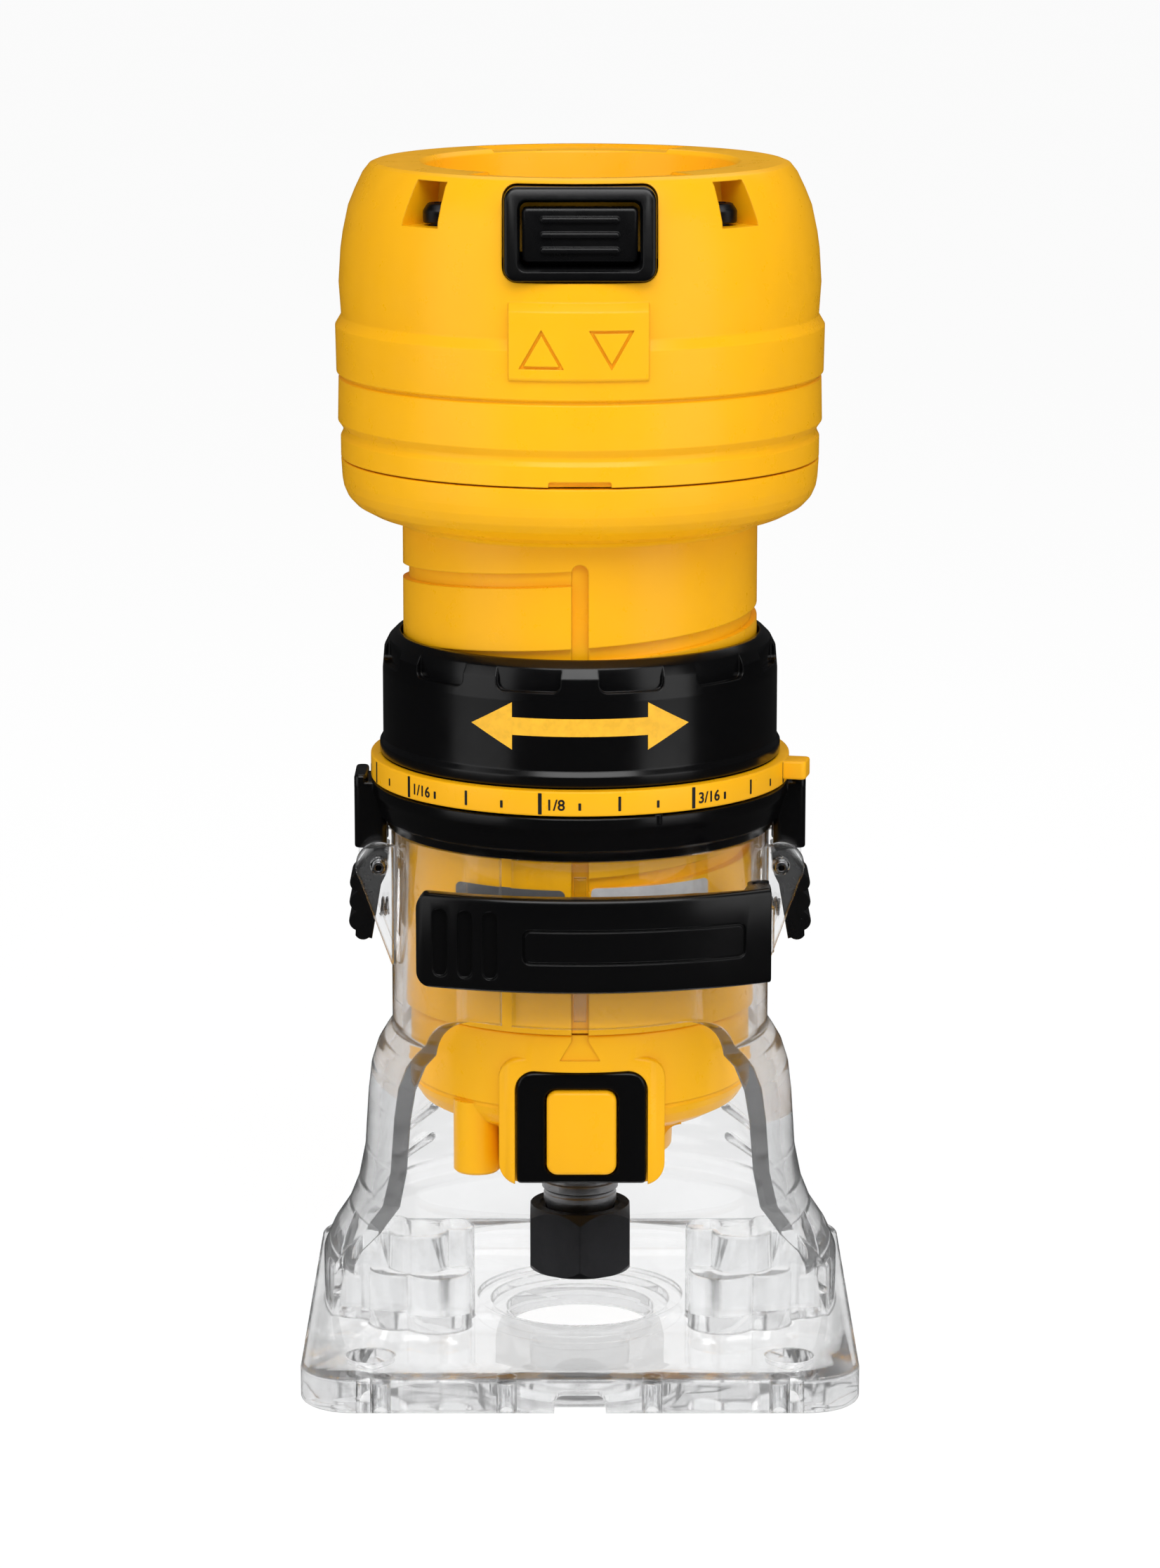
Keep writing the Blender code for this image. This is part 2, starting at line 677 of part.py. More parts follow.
def switch():
    """A black bezel with a rocker pivoted behind its face, and the switch body inside the head."""
    outline = rounded_rect(-12.0, 12.0, SWITCH_LOW, SWITCH_HIGH, 2.1)
    bezel_shape = sloped(prism(outline, -40.2, -34.4, "Y"), SWITCH_LOW, SWITCH_SLOPE)
    bezel = node("switch_bezel", bezel_shape, black(), "motor")
    cut(bezel, prism(rounded_rect(-9.5, 9.5, SWITCH_MID - 5.1, SWITCH_MID + 5.1, 1.2), -46.0, -26.0, "Y"))
    rocker_outline = [(-37.2, 4.3), (-36.9, 0.0), (-37.2, -4.3), (-34.6, -4.3), (-34.2, 0.0), (-34.6, 4.3)]
    shape = prism([(y, SWITCH_MID + z) for y, z in rocker_outline], -9.1, 9.1, "X")
    rocker = node("switch_rocker", shape, black(), "rocker", smooth=False)
    middles = [SWITCH_MID + offset for offset in (-2.2, 0.0, 2.2)]
    fuse(rocker, *[box(-6.0, 6.0, -37.9, -36.6, z - 0.5, z + 0.5) for z in middles])
    node("switch_body", box(-8.0, 8.0, -31.0, -15.0, 170.0, 188.2), black(), "motor", smooth=False)


def nose_cap():
    """The lower end of the motor: a dome, the bearing seat and the housing of the spindle lock."""
    outside = [
        (0, NECK_FOOT - GAP), (28.7, NECK_FOOT - GAP), (28.6, 47.0), (28.3, 43.6), (27.0, 41.0),
        (23.8, 39.2), (17.5, 38.2), (15.8, 36.8), (15.6, NOSE_FOOT), (0, NOSE_FOOT),
    ]
    nose = node("nose_cap", turned(outside), yellow(), "motor")
    frame_outline = rounded_rect(-13.4, 14.0, NOSE_FOOT - 0.1, 55.2, 3.6)
    shoulders = [rod(3.9, NOSE_FOOT + 0.2, 46.0, at=place) for place in nose_screw_places()]
    fuse(nose, *shoulders)
    fuse(nose, prism(frame_outline, -27.5, -15.0, "Y"))
    inside = [
        (0, 30.0), (7.3, 30.0), (7.3, 35.0), (14.3, 35.0), (14.3, 44.4), (16.0, 45.2), (20.6, 51.4),
        (25.9, 52.2), (26.3, 62.0), (0, 62.0),
    ]
    cut(nose, turned(inside))
    outside_sleeve = [(NOSE_R, 30.0), (NOSE_R, 62.0), (36.0, 62.0), (36.0, 30.0)]
    cut(nose, turned(outside_sleeve))
    half = KEY_SLOT_WIDE / 2
    lead_in = [(-3.4, 54.6), (3.4, 54.6), (half, 58.4), (half, 62.0), (-half, 62.0), (-half, 58.4)]
    cut(nose, prism(lead_in, -34.0, -KEY_SLOT_FLOOR, "Y"))
    recess = rounded_rect(-10.75, 11.2, 20.0, 52.95, 3.3)
    cut(nose, prism(recess, -34.0, -24.8, "Y"))
    cut(nose, prism(rounded_rect(-5.85, 6.35, 35.1, 49.9, 1.2), -30.0, -17.6, "Y"))
    cut(nose, rod(2.0, -18.5, -5.0, "Y", (BUTTON_X, LOCK_PIN_Z), TINY_ROUND))
    screw_bores = []
    for x, y in nose_screw_places():
        step = [(0, 30), (2.6, 30), (2.6, 36.6), (1.6, 36.6), (1.6, 50), (0, 50)]
        screw_bores.append(moved(turned(step, TINY_ROUND), (x, y, 0)))
    cut(nose, *screw_bores)


def nose_screw_places():
    return ((-17.2, -18.5), (17.2, 18.5))


def nose_fittings():
    frame_outline = rounded_rect(-10.45, 10.9, NOSE_FOOT + 0.4, 52.65, 3.0)
    surround = node("lock_surround", prism(frame_outline, LOCK_FACE, -25.1, "Y"), black(), "motor")
    cut(surround, prism(rounded_rect(-5.85, 6.35, 35.1, 49.9, 1.2), -40.0, -20.0, "Y"))
    for number, place in enumerate(nose_screw_places(), 1):
        screw(f"nose_screw_{number}", place, 2.3, 1.3, 34.2, 36.3, 48.0, "motor")


def spindle_lock():
    button = prism(rounded_rect(-5.5, 6.0, 35.4, 49.6, 1.8), -28.7, -21.4, "Y")
    node("lock_button", button, yellow(), "lock")
    pin = rod(1.5, -21.1, -7.3, "Y", (BUTTON_X, LOCK_PIN_Z), TINY_ROUND)
    node("lock_pin", pin, steel(), "lock")
    low, high = (BUTTON_X, -21.0, LOCK_PIN_Z), (BUTTON_X, -17.9, LOCK_PIN_Z)
    node("lock_spring", coil(2.25, 0.3, high, low, 3, 10), steel(), "motor")


# ---------------------------------------------------------------- motor internals

def ring_node(name, inner, outer, low, high, finish, on, segments=INNER_ROUND):
    node(name, turned([(outer, low), (outer, high), (inner, high), (inner, low)], segments), finish, on)


def stator():
    core_profile = [(26.7, 74.0), (26.7, 118.0), (18.0, 118.0), (18.0, 74.0)]
    core = node("stator_core", turned(core_profile, ROUND), steel(), "motor")
    cut(core, box(-3.0, 3.0, 24.8, 28.0, 70.0, 122.0), box(-3.0, 3.0, -28.0, -24.8, 70.0, 122.0))
    for name, low, high in (("field_coil_lower", 65.5, 73.7), ("field_coil_upper", 118.3, 126.5)):
        lip = 1.6
        profile = [
            (25.6, low + lip), (25.6, high - lip), (24.0, high), (20.2, high), (18.8, high - lip),
            (18.8, low + lip), (20.2, low), (24.0, low),
        ]
        node(name, turned(profile, INNER_ROUND), copper(), "motor")
    ring_node("fan_baffle", 17.0, 26.9, 61.6, 63.6, black(), "motor")


def brush_gear():
    """The bracket across the head that carries the upper bearing and the two carbon brushes."""
    cup = [(14.2, 159.0), (14.2, 167.0), (11.2, 167.0), (11.2, 161.0), (6.0, 161.0), (6.0, 159.0)]
    bracket = node("brush_bracket", turned(cup, INNER_ROUND), black(), "motor")
    arms = [box(12.0, 36.2, -8.0, 8.0, 159.2, 162.0), box(-36.2, -12.0, -8.0, 8.0, 159.2, 162.0)]
    fuse(bracket, *arms)
    for side, word in ((-1, "left"), (1, "right")):
        outline = [(-4.2, -5.6), (4.2, -5.6), (4.2, 5.6), (-4.2, 5.6)]
        middle = 151.6
        low, high = sorted((side * 14.5, side * 32.0))
        section = [(y, middle + z) for y, z in outline]
        holder_shape = prism(section, low, high, "X")
        holder = node(f"brush_holder_{word}", holder_shape, brass(), "motor", smooth=False)
        hollow = [(y * 0.78, middle + z * 0.82) for y, z in outline]
        cut(holder, prism(hollow, low - 5, high + 5, "X"))
        low, high = sorted((side * 11.0, side * 22.0))
        brush = [(y * 0.69, middle + z * 0.74) for y, z in outline]
        brush_shape = prism(brush, low, high, "X")
        node(f"carbon_brush_{word}", brush_shape, carbon(), "motor", smooth=False)
        spring = coil(2.0, 0.3, (side * 22.6, 0, middle), (side * 31.6, 0, middle), 3, 8)
        node(f"brush_spring_{word}", spring, steel(), "motor")


def bearings():
    ring_node("lower_bearing_outer", 11.2, 14.0, 35.4, 43.4, steel(), "motor")
    ring_node("lower_bearing_inner", 6.4, 8.8, 35.4, 43.4, steel(), "rotor")
    ring_node("upper_bearing_outer", 8.2, 10.9, 161.4, 166.8, steel(), "motor")
    ring_node("upper_bearing_inner", 4.4, 6.4, 161.4, 166.8, steel(), "rotor")


def spindle():
    """The armature's shaft, with a threaded nose that the collet nut screws on to."""
    profile = [
        (4.9, 13.6), (5.6, 13.6), (5.6, 21.6), (SPINDLE_R, 23.0), (SPINDLE_R, 34.9), (6.1, 35.2),
        (6.1, 60.0), (5.0, 61.0), (5.0, 138.0), (4.1, 139.0), (4.1, 168.0), (0, 168.0), (0, 34.0),
        (3.6, 34.0), (3.6, 24.0),
    ]
    shaft = node("spindle", turned(profile, INNER_ROUND), steel(), "rotor")
    flats = [box(4.9, 9.0, -8.0, 8.0, 26.4, 31.4), box(-9.0, -4.9, -8.0, 8.0, 26.4, 31.4)]
    cross = rod(2.0, -9.0, 9.0, "Y", (BUTTON_X, LOCK_PIN_Z), TINY_ROUND)
    cut(shaft, *flats, cross)


def armature():
    ring_node("armature_core", 5.3, 17.4, 76.0, 116.0, steel(), "rotor")
    for name, low, high in (("armature_coil_lower", 68.0, 75.7), ("armature_coil_upper", 116.3, 126.0)):
        profile = [
            (13.8, low), (16.2, low + 2.4), (16.2, high - 2.4), (13.8, high), (8.6, high),
            (5.4, high - 2.0), (5.4, low + 2.0), (8.6, low),
        ]
        node(name, turned(profile, INNER_ROUND), copper(), "rotor")
    profile = [(10.6, 144.5), (10.6, 158.2), (5.3, 158.2), (5.3, 142.0), (12.0, 142.0), (12.0, 144.2)]
    commutator = node("commutator", turned(profile, 24), copper(), "rotor")
    bars = [moved(box(-0.25, 0.25, -14.0, -9.9, 140.0, 160.0), turn=30.0 * i + 3.0) for i in range(12)]
    cut(commutator, *bars)


def fan():
    """A radial cooling fan: a hub, a disc and twelve blades."""
    disc = [(9.0, 53.2), (24.2, 53.2), (24.2, 54.4), (9.0, 54.4), (9.0, 60.0), (6.4, 60.0), (6.4, 53.2)]
    wheel = node("cooling_fan", turned(disc, 24), black(), "rotor")
    blades = [moved(box(-0.5, 0.5, -24.0, -10.5, 54.0, 60.2), turn=30.0 * i) for i in range(12)]
    fuse(wheel, *blades)


def hexagon(flats):
    """A hexagon with a corner to the front."""
    return [on_circle(flats / sqrt(3), 60.0 * i) for i in range(6)]


def collet_and_nut():
    nut = node("collet_nut", prism(hexagon(NUT_FLATS), NUT_FOOT, NUT_TOP), dark_steel(), "rotor")
    hollow = [
        (0, 8), (3.5, 8), (3.5, 12.0), (5.4, 12.6), (5.9, 13.1), (5.9, 21.8), (6.8, 22.0), (6.8, 28),
        (0, 28),
    ]
    cut(nut, turned(hollow, INNER_ROUND))
    trim = turned([(8.9, 10.0), (9.9, 12.6), (9.9, 20.8), (8.9, 23.4), (13.0, 23.4), (13.0, 10.0)], 24)
    cut(nut, trim)
    collet_profile = [(3.1, 12.8), (3.2, 30.0), (2.9, 30.0), (1.6, 30.0), (1.6, 12.2), (2.8, 12.2)]
    collet = node("collet", turned(collet_profile, SMALL_ROUND), steel(), "rotor")
    cut(collet, box(-0.25, 0.25, 0.5, 5.0, 10.0, 27.0), box(-0.25, 0.25, -5.0, -0.5, 10.0, 27.0))


# ---------------------------------------------------------------- the whole tool

def build():
    clear_scene()
    body("base")
    body("collar")
    body("depth_ring")
    body("scale_ring")
    body("motor")
    body("rotor")
    body("clamp", (*CLAMP_PIVOT, 76.0))
    body("latch_left", (-LATCH_X, 0, LATCH_Z))
    body("latch_right", (LATCH_X, 0, LATCH_Z))
    body("rocker", (0, -35.6, SWITCH_MID))
    body("lock", (BUTTON_X, LOCK_FACE, LOCK_PIN_Z))
    clear_base()
    base_fittings()
    clamp_lever()
    latches()
    quick_release_collar()
    depth_ring()
    scale_ring()
    motor_housing()
    end_cap()
    head_fittings()
    switch()
    nose_cap()
    nose_fittings()
    spindle_lock()
    stator()
    brush_gear()
    bearings()
    spindle()
    armature()
    fan()
    collet_and_nut()


build()
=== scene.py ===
"""The looks of the trim router: fine shells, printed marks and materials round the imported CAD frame.

Pieces are modelled in millimetres in the frame's own axes (+Z up, front at -Y, origin at the centre
of the base's underside) and scaled to metres when they are made. Azimuths run from the front
towards +X.
"""

from math import cos, degrees, pi, radians, sin, sqrt, tau

import bmesh
import bpy
from mathutils import Matrix, Vector


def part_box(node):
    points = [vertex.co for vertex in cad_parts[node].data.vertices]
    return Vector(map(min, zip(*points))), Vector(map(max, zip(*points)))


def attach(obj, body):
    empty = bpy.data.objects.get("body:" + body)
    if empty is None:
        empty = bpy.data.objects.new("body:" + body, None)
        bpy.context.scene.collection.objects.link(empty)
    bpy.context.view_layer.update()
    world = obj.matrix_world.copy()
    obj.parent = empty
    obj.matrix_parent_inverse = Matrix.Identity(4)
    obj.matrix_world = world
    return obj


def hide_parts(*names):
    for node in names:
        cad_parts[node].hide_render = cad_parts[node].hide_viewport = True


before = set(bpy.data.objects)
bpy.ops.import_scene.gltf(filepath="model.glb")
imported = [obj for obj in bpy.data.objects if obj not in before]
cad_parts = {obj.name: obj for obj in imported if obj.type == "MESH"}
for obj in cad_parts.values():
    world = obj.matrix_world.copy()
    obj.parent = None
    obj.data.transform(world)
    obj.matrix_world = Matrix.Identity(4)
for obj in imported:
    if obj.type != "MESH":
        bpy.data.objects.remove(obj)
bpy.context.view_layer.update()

MM = 0.001
FINE = 144
ROUND = 64
SMALL = 28
SHARP = 35.0
SOFT_EDGE = 0.00035


def box_mm(name):
    """A CAD node's lowest and highest corners in millimetres."""
    low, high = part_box(name)
    return Vector(low) / MM, Vector(high) / MM


# ---------------------------------------------------------------- sizes taken from the frame

BASE_HIGH = box_mm("clear_base")[1]
HALF_PLATE = BASE_HIGH.x
SLEEVE_TOP = BASE_HIGH.z
NECK_FOOT = box_mm("motor_housing")[0].z
FLANGE_TOP = box_mm("motor_housing")[1].z
CAP_FOOT, CAP_TOP = box_mm("end_cap")[0].z, box_mm("end_cap")[1].z
RING_FOOT, RING_TOP = box_mm("depth_ring")[0].z, box_mm("depth_ring")[1].z
SCALE_FOOT, SCALE_TOP = box_mm("scale_ring")[0].z, box_mm("scale_ring")[1].z
COLLAR_FOOT = SLEEVE_TOP + 0.3
NUT_LOW, NUT_HIGH = box_mm("collet_nut")
NOSE_LOW, NOSE_HIGH = box_mm("nose_cap")
LEVER_LOW, LEVER_HIGH = box_mm("clamp_lever")
SURROUND_LOW, SURROUND_HIGH = box_mm("lock_surround")

# ---------------------------------------------------------------- other shared sizes

SCALE_R = 35.1
RING_R = 33.0
NECK_R = 29.5
KEY_HALF = 1.375
LEAD = 12.7
GROOVE_START = 135.4
PIN_HEIGHT = 113.0
PIN_AZIMUTH = ((PIN_HEIGHT - GROOVE_START) / LEAD * 360.0) % 360.0
FIRST_TICK = -53.0
TICK_STEP = 360.0 / 34
FRACTIONS = ("1/16", "1/8", "3/16", "1/4", "5/16", "3/8", "7/16", "1/2")
POCKETS = (42.0, 138.0, 222.0, 318.0)
CAP_SCREW_R = 33.4
SWITCH_MIDDLE = 191.4
SWITCH_FOOT = 184.3
SWITCH_SLOPE = 0.22
CLAMP_PIVOT = (29.8, -25.0)
LATCH_X, LATCH_Z = 33.7, 82.8
GLAND_HEIGHT = 174.0
NOSE_SCREWS = ((-17.2, -18.5), (17.2, 18.5))
CROSS_HOLE = (0.25, 47.5)
HOLE_X, HOLE_Y = 34.6, 33.7
BOSSES = (
    (5.0, 22.0, 33.4, -10.5), (5.2, 22.0, 27.2, -14.2), (3.4, 22.0, 21.2, -11.8), (5.8, 15.6, 24.0, -17.0),
    (4.8, 15.6, 30.8, -15.8), (4.4, 13.5, 37.6, -9.6),
)


# ---------------------------------------------------------------- shapes, in millimetres

def on_circle(radius, azimuth):
    """The (x, y) of a point on a circle about the Z axis."""
    angle = radians(azimuth)
    return (radius * sin(angle), -radius * cos(angle))


def arc(centre, radius, start, end, steps):
    """Points along an arc, both ends included."""
    cx, cy = centre
    angles = [radians(start + (end - start) * i / steps) for i in range(steps + 1)]
    return [(cx + radius * cos(a), cy + radius * sin(a)) for a in angles]


def circle_through(a, b, c):
    """The centre and radius of the circle through three points."""
    (ax, ay), (bx, by), (cx, cy) = a, b, c
    d = 2 * (ax * (by - cy) + bx * (cy - ay) + cx * (ay - by))
    aa, bb, cc = ax * ax + ay * ay, bx * bx + by * by, cx * cx + cy * cy
    x = (aa * (by - cy) + bb * (cy - ay) + cc * (ay - by)) / d
    y = (aa * (cx - bx) + bb * (ax - cx) + cc * (bx - ax)) / d
    return (x, y), sqrt((ax - x) ** 2 + (ay - y) ** 2)


def rounded_rect(x0, x1, y0, y1, radius, steps=6):
    """The outline of a rectangle with round corners."""
    corners = (
        ((x1 - radius, y0 + radius), -90),
        ((x1 - radius, y1 - radius), 0),
        ((x0 + radius, y1 - radius), 90),
        ((x0 + radius, y0 + radius), 180),
    )
    points = []
    for centre, start in corners:
        points += arc(centre, radius, start, start + 90, steps)
    return points


def filleted(points, steps=4):
    """Rounds each corner of a closed outline; a point is (x, y) or (x, y, fillet radius)."""
    outline = []
    count = len(points)
    for i, point in enumerate(points):
        here = Vector(point[:2])
        size = point[2] if len(point) > 2 else 0.0
        before = Vector(points[i - 1][:2]) - here
        after = Vector(points[(i + 1) % count][:2]) - here
        if size <= 0 or before.length < 1e-6 or after.length < 1e-6:
            outline.append(tuple(here))
            continue
        angle = before.angle(after)
        if angle > radians(178):
            outline.append(tuple(here))
            continue
        tangent = max(1e-6, sin(angle / 2) / cos(angle / 2))
        back = min(size / tangent, before.length * 0.49, after.length * 0.49)
        start, end = here + before.normalized() * back, here + after.normalized() * back
        for k in range(steps + 1):
            t = k / steps
            outline.append(tuple((1 - t) ** 2 * start + 2 * t * (1 - t) * here + t * t * end))
    return outline


def closed(bm):
    """The shape with all its faces pointing out."""
    bmesh.ops.recalc_face_normals(bm, faces=bm.faces)
    if bm.calc_volume(signed=True) < 0:
        bmesh.ops.reverse_faces(bm, faces=bm.faces)
    return bm


def turned(profile, segments=FINE):
    """A closed profile of (radius, height) points turned about Z; radius 0 is a pole."""
    bm = bmesh.new()
    rings = []
    for radius, height in profile:
        if radius == 0:
            rings.append([bm.verts.new((0, 0, height))])
            continue
        steps = [tau * i / segments for i in range(segments)]
        rings.append([bm.verts.new((radius * cos(a), radius * sin(a), height)) for a in steps])
    for ring, after in zip(rings, rings[1:] + rings[:1]):
        if len(ring) == 1 and len(after) == 1:
            continue
        for i in range(segments):
            j = (i + 1) % segments
            if len(ring) == 1:
                bm.faces.new((ring[0], after[j], after[i]))
            elif len(after) == 1:
                bm.faces.new((ring[i], ring[j], after[0]))
            else:
                bm.faces.new((ring[i], ring[j], after[j], after[i]))
    return closed(bm)


def loft(rings):
    """A closed body through loops of points, all with the same count."""
    bm = bmesh.new()
    loops = [[bm.verts.new(p) for p in ring] for ring in rings]
    count = len(loops[0])
    for ring, after in zip(loops, loops[1:]):
        for i in range(count):
            j = (i + 1) % count
            bm.faces.new((ring[i], ring[j], after[j], after[i]))
    bm.faces.new(loops[0])
    bm.faces.new(loops[-1])
    return closed(bm)


TURN = {
    "Z": lambda u, v, w: (u, v, w),
    "Y": lambda u, v, w: (u, w, v),
    "X": lambda u, v, w: (w, u, v),
}


def prism(outline, low, high, along="Z"):
    """An outline extruded along an axis; it lies in XY, in XZ for Y, or in YZ for X."""
    place = TURN[along]
    return loft([[place(u, v, level) for u, v in outline] for level in (low, high)])


def shrunk(outline, by):
    """A convex outline moved inwards by a distance."""
    count = len(outline)
    centre = sum((Vector(p) for p in outline), Vector((0, 0))) / count
    shrunk_points = []
    for i, point in enumerate(outline):
        ahead = (Vector(outline[(i + 1) % count]) - Vector(outline[i - 1])).normalized()
        normal = Vector((-ahead.y, ahead.x))
        if normal.dot(centre - Vector(point)) < 0:
            normal = -normal
        shrunk_points.append(tuple(Vector(point) + normal * by))
    return shrunk_points


def pillow(outline, low, high, edge, along="Z", both=True, steps=3):
    """A prism whose rims are rounded off by a quarter circle of this radius."""
    place = TURN[along]
    sign = 1 if high > low else -1
    turns = [pi / 2 * k / steps for k in range(steps + 1)]
    if both:
        levels = [(low + sign * edge * (1 - cos(a)), edge * (1 - sin(a))) for a in turns]
    else:
        levels = [(low, 0.0)]
    levels += [(high - sign * edge * (1 - sin(a)), edge * (1 - cos(a))) for a in turns]
    rings = []
    for level, inset in levels:
        rim = shrunk(outline, inset) if inset else outline
        rings.append([place(u, v, level) for u, v in rim])
    return loft(rings)


def box(x0, x1, y0, y1, z0, z1):
    return prism([(x0, y0), (x1, y0), (x1, y1), (x0, y1)], z0, z1)


def rod(radius, low, high, along="Z", at=(0.0, 0.0)):
    return prism(arc(at, radius, 0, 360 - 360 / SMALL, SMALL - 1), low, high, along)


def arc_wall(inner, outer, start, end, low, high):
    """Part of a round wall between two azimuths, in steps of about two degrees."""
    steps = max(1, int(abs(end - start) / 2.0))
    angles = [start + (end - start) * i / steps for i in range(steps + 1)]
    outline = [on_circle(outer, a) for a in angles] + [on_circle(inner, a) for a in reversed(angles)]
    return prism(outline, low, high)


def moved(bm, shift=(0, 0, 0), turn=0.0):
    """The shape turned about Z and then shifted."""
    matrix = Matrix.Translation(shift) @ Matrix.Rotation(radians(turn), 4, "Z")
    bmesh.ops.transform(bm, matrix=matrix, verts=bm.verts)
    return bm


def turned_at(profile, place, segments):
    return moved(turned(profile, segments), (*place, 0))


def lie_along_y(bm):
    """Lays a shape that stands along Z down along Y."""
    turn = Matrix.Rotation(radians(-90), 3, "X")
    bmesh.ops.rotate(bm, cent=(0, 0, 0), matrix=turn, verts=bm.verts)


def together(*shapes):
    """Several shapes in one, not merged."""
    whole = bmesh.new()
    for bm in shapes:
        mesh = bpy.data.meshes.new("part")
        bm.to_mesh(mesh)
        bm.free()
        whole.from_mesh(mesh)
        bpy.data.meshes.remove(mesh)
    return whole


def stand_in(bm, name):
    mesh = bpy.data.meshes.new(name)
    bm.to_mesh(mesh)
    bm.free()
    obj = bpy.data.objects.new(name, mesh)
    bpy.context.scene.collection.objects.link(obj)
    return obj


def evaluated(obj):
    """The object's mesh with its modifiers applied, as a bmesh; the object is removed."""
    bpy.context.view_layer.update()
    seen = obj.evaluated_get(bpy.context.evaluated_depsgraph_get())
    mesh = bpy.data.meshes.new_from_object(seen)
    bm = bmesh.new()
    bm.from_mesh(mesh)
    old = obj.data
    bpy.data.objects.remove(obj, do_unlink=True)
    bpy.data.meshes.remove(mesh)
    bpy.data.meshes.remove(old)
    return bm


def evaluated_curve(obj):
    """A curve or text object's mesh as a bmesh; the object is removed."""
    bpy.context.view_layer.update()
    mesh = bpy.data.meshes.new_from_object(obj.evaluated_get(bpy.context.evaluated_depsgraph_get()))
    bm = bmesh.new()
    bm.from_mesh(mesh)
    curve = obj.data
    bpy.data.objects.remove(obj, do_unlink=True)
    bpy.data.curves.remove(curve)
    bpy.data.meshes.remove(mesh)
    return bm


def combined(bm, shape, operation):
    """The shape after an exact Boolean with another."""
    target, tool = stand_in(bm, "target"), stand_in(shape, "tool")
    modifier = target.modifiers.new("combine", "BOOLEAN")
    modifier.operation = operation
    modifier.solver = "EXACT"
    modifier.object = tool
    result = evaluated(target)
    mesh = tool.data
    bpy.data.objects.remove(tool, do_unlink=True)
    bpy.data.meshes.remove(mesh)
    return result


def cut(bm, *shapes):
    return combined(bm, together(*shapes), "DIFFERENCE")


def fuse(bm, *shapes):
    return combined(bm, together(*shapes), "UNION")


def common(bm, *shapes):
    return combined(bm, together(*shapes), "INTERSECT")


def skin(inner, outer, low, high):
    """A plain tube, used to give radial cutters a curved floor."""
    return turned([(outer, low), (outer, high), (inner, high), (inner, low)])


def radial(outline, azimuth, near=20.0, far=60.0):
    """An outline in (sideways, height) extruded outwards at an azimuth."""
    return moved(prism(outline, -far, -near, "Y"), turn=azimuth)


# ---------------------------------------------------------------- pieces

def piece(name, bm, finish, body, replaced=()):
    """Turns a shape in millimetres into a named piece that rides on a body."""
    bmesh.ops.remove_doubles(bm, verts=bm.verts, dist=1e-4)
    bmesh.ops.scale(bm, vec=(MM, MM, MM), verts=bm.verts)
    mesh = bpy.data.meshes.new(name)
    bm.to_mesh(mesh)
    bm.free()
    mesh.materials.append(finish)
    mesh.shade_smooth()
    mesh.set_sharp_from_angle(angle=radians(SHARP))
    obj = bpy.data.objects.new(name, mesh)
    bpy.context.scene.collection.objects.link(obj)
    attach(obj, body)
    if replaced:
        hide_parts(*replaced)
    return obj


# ---------------------------------------------------------------- materials

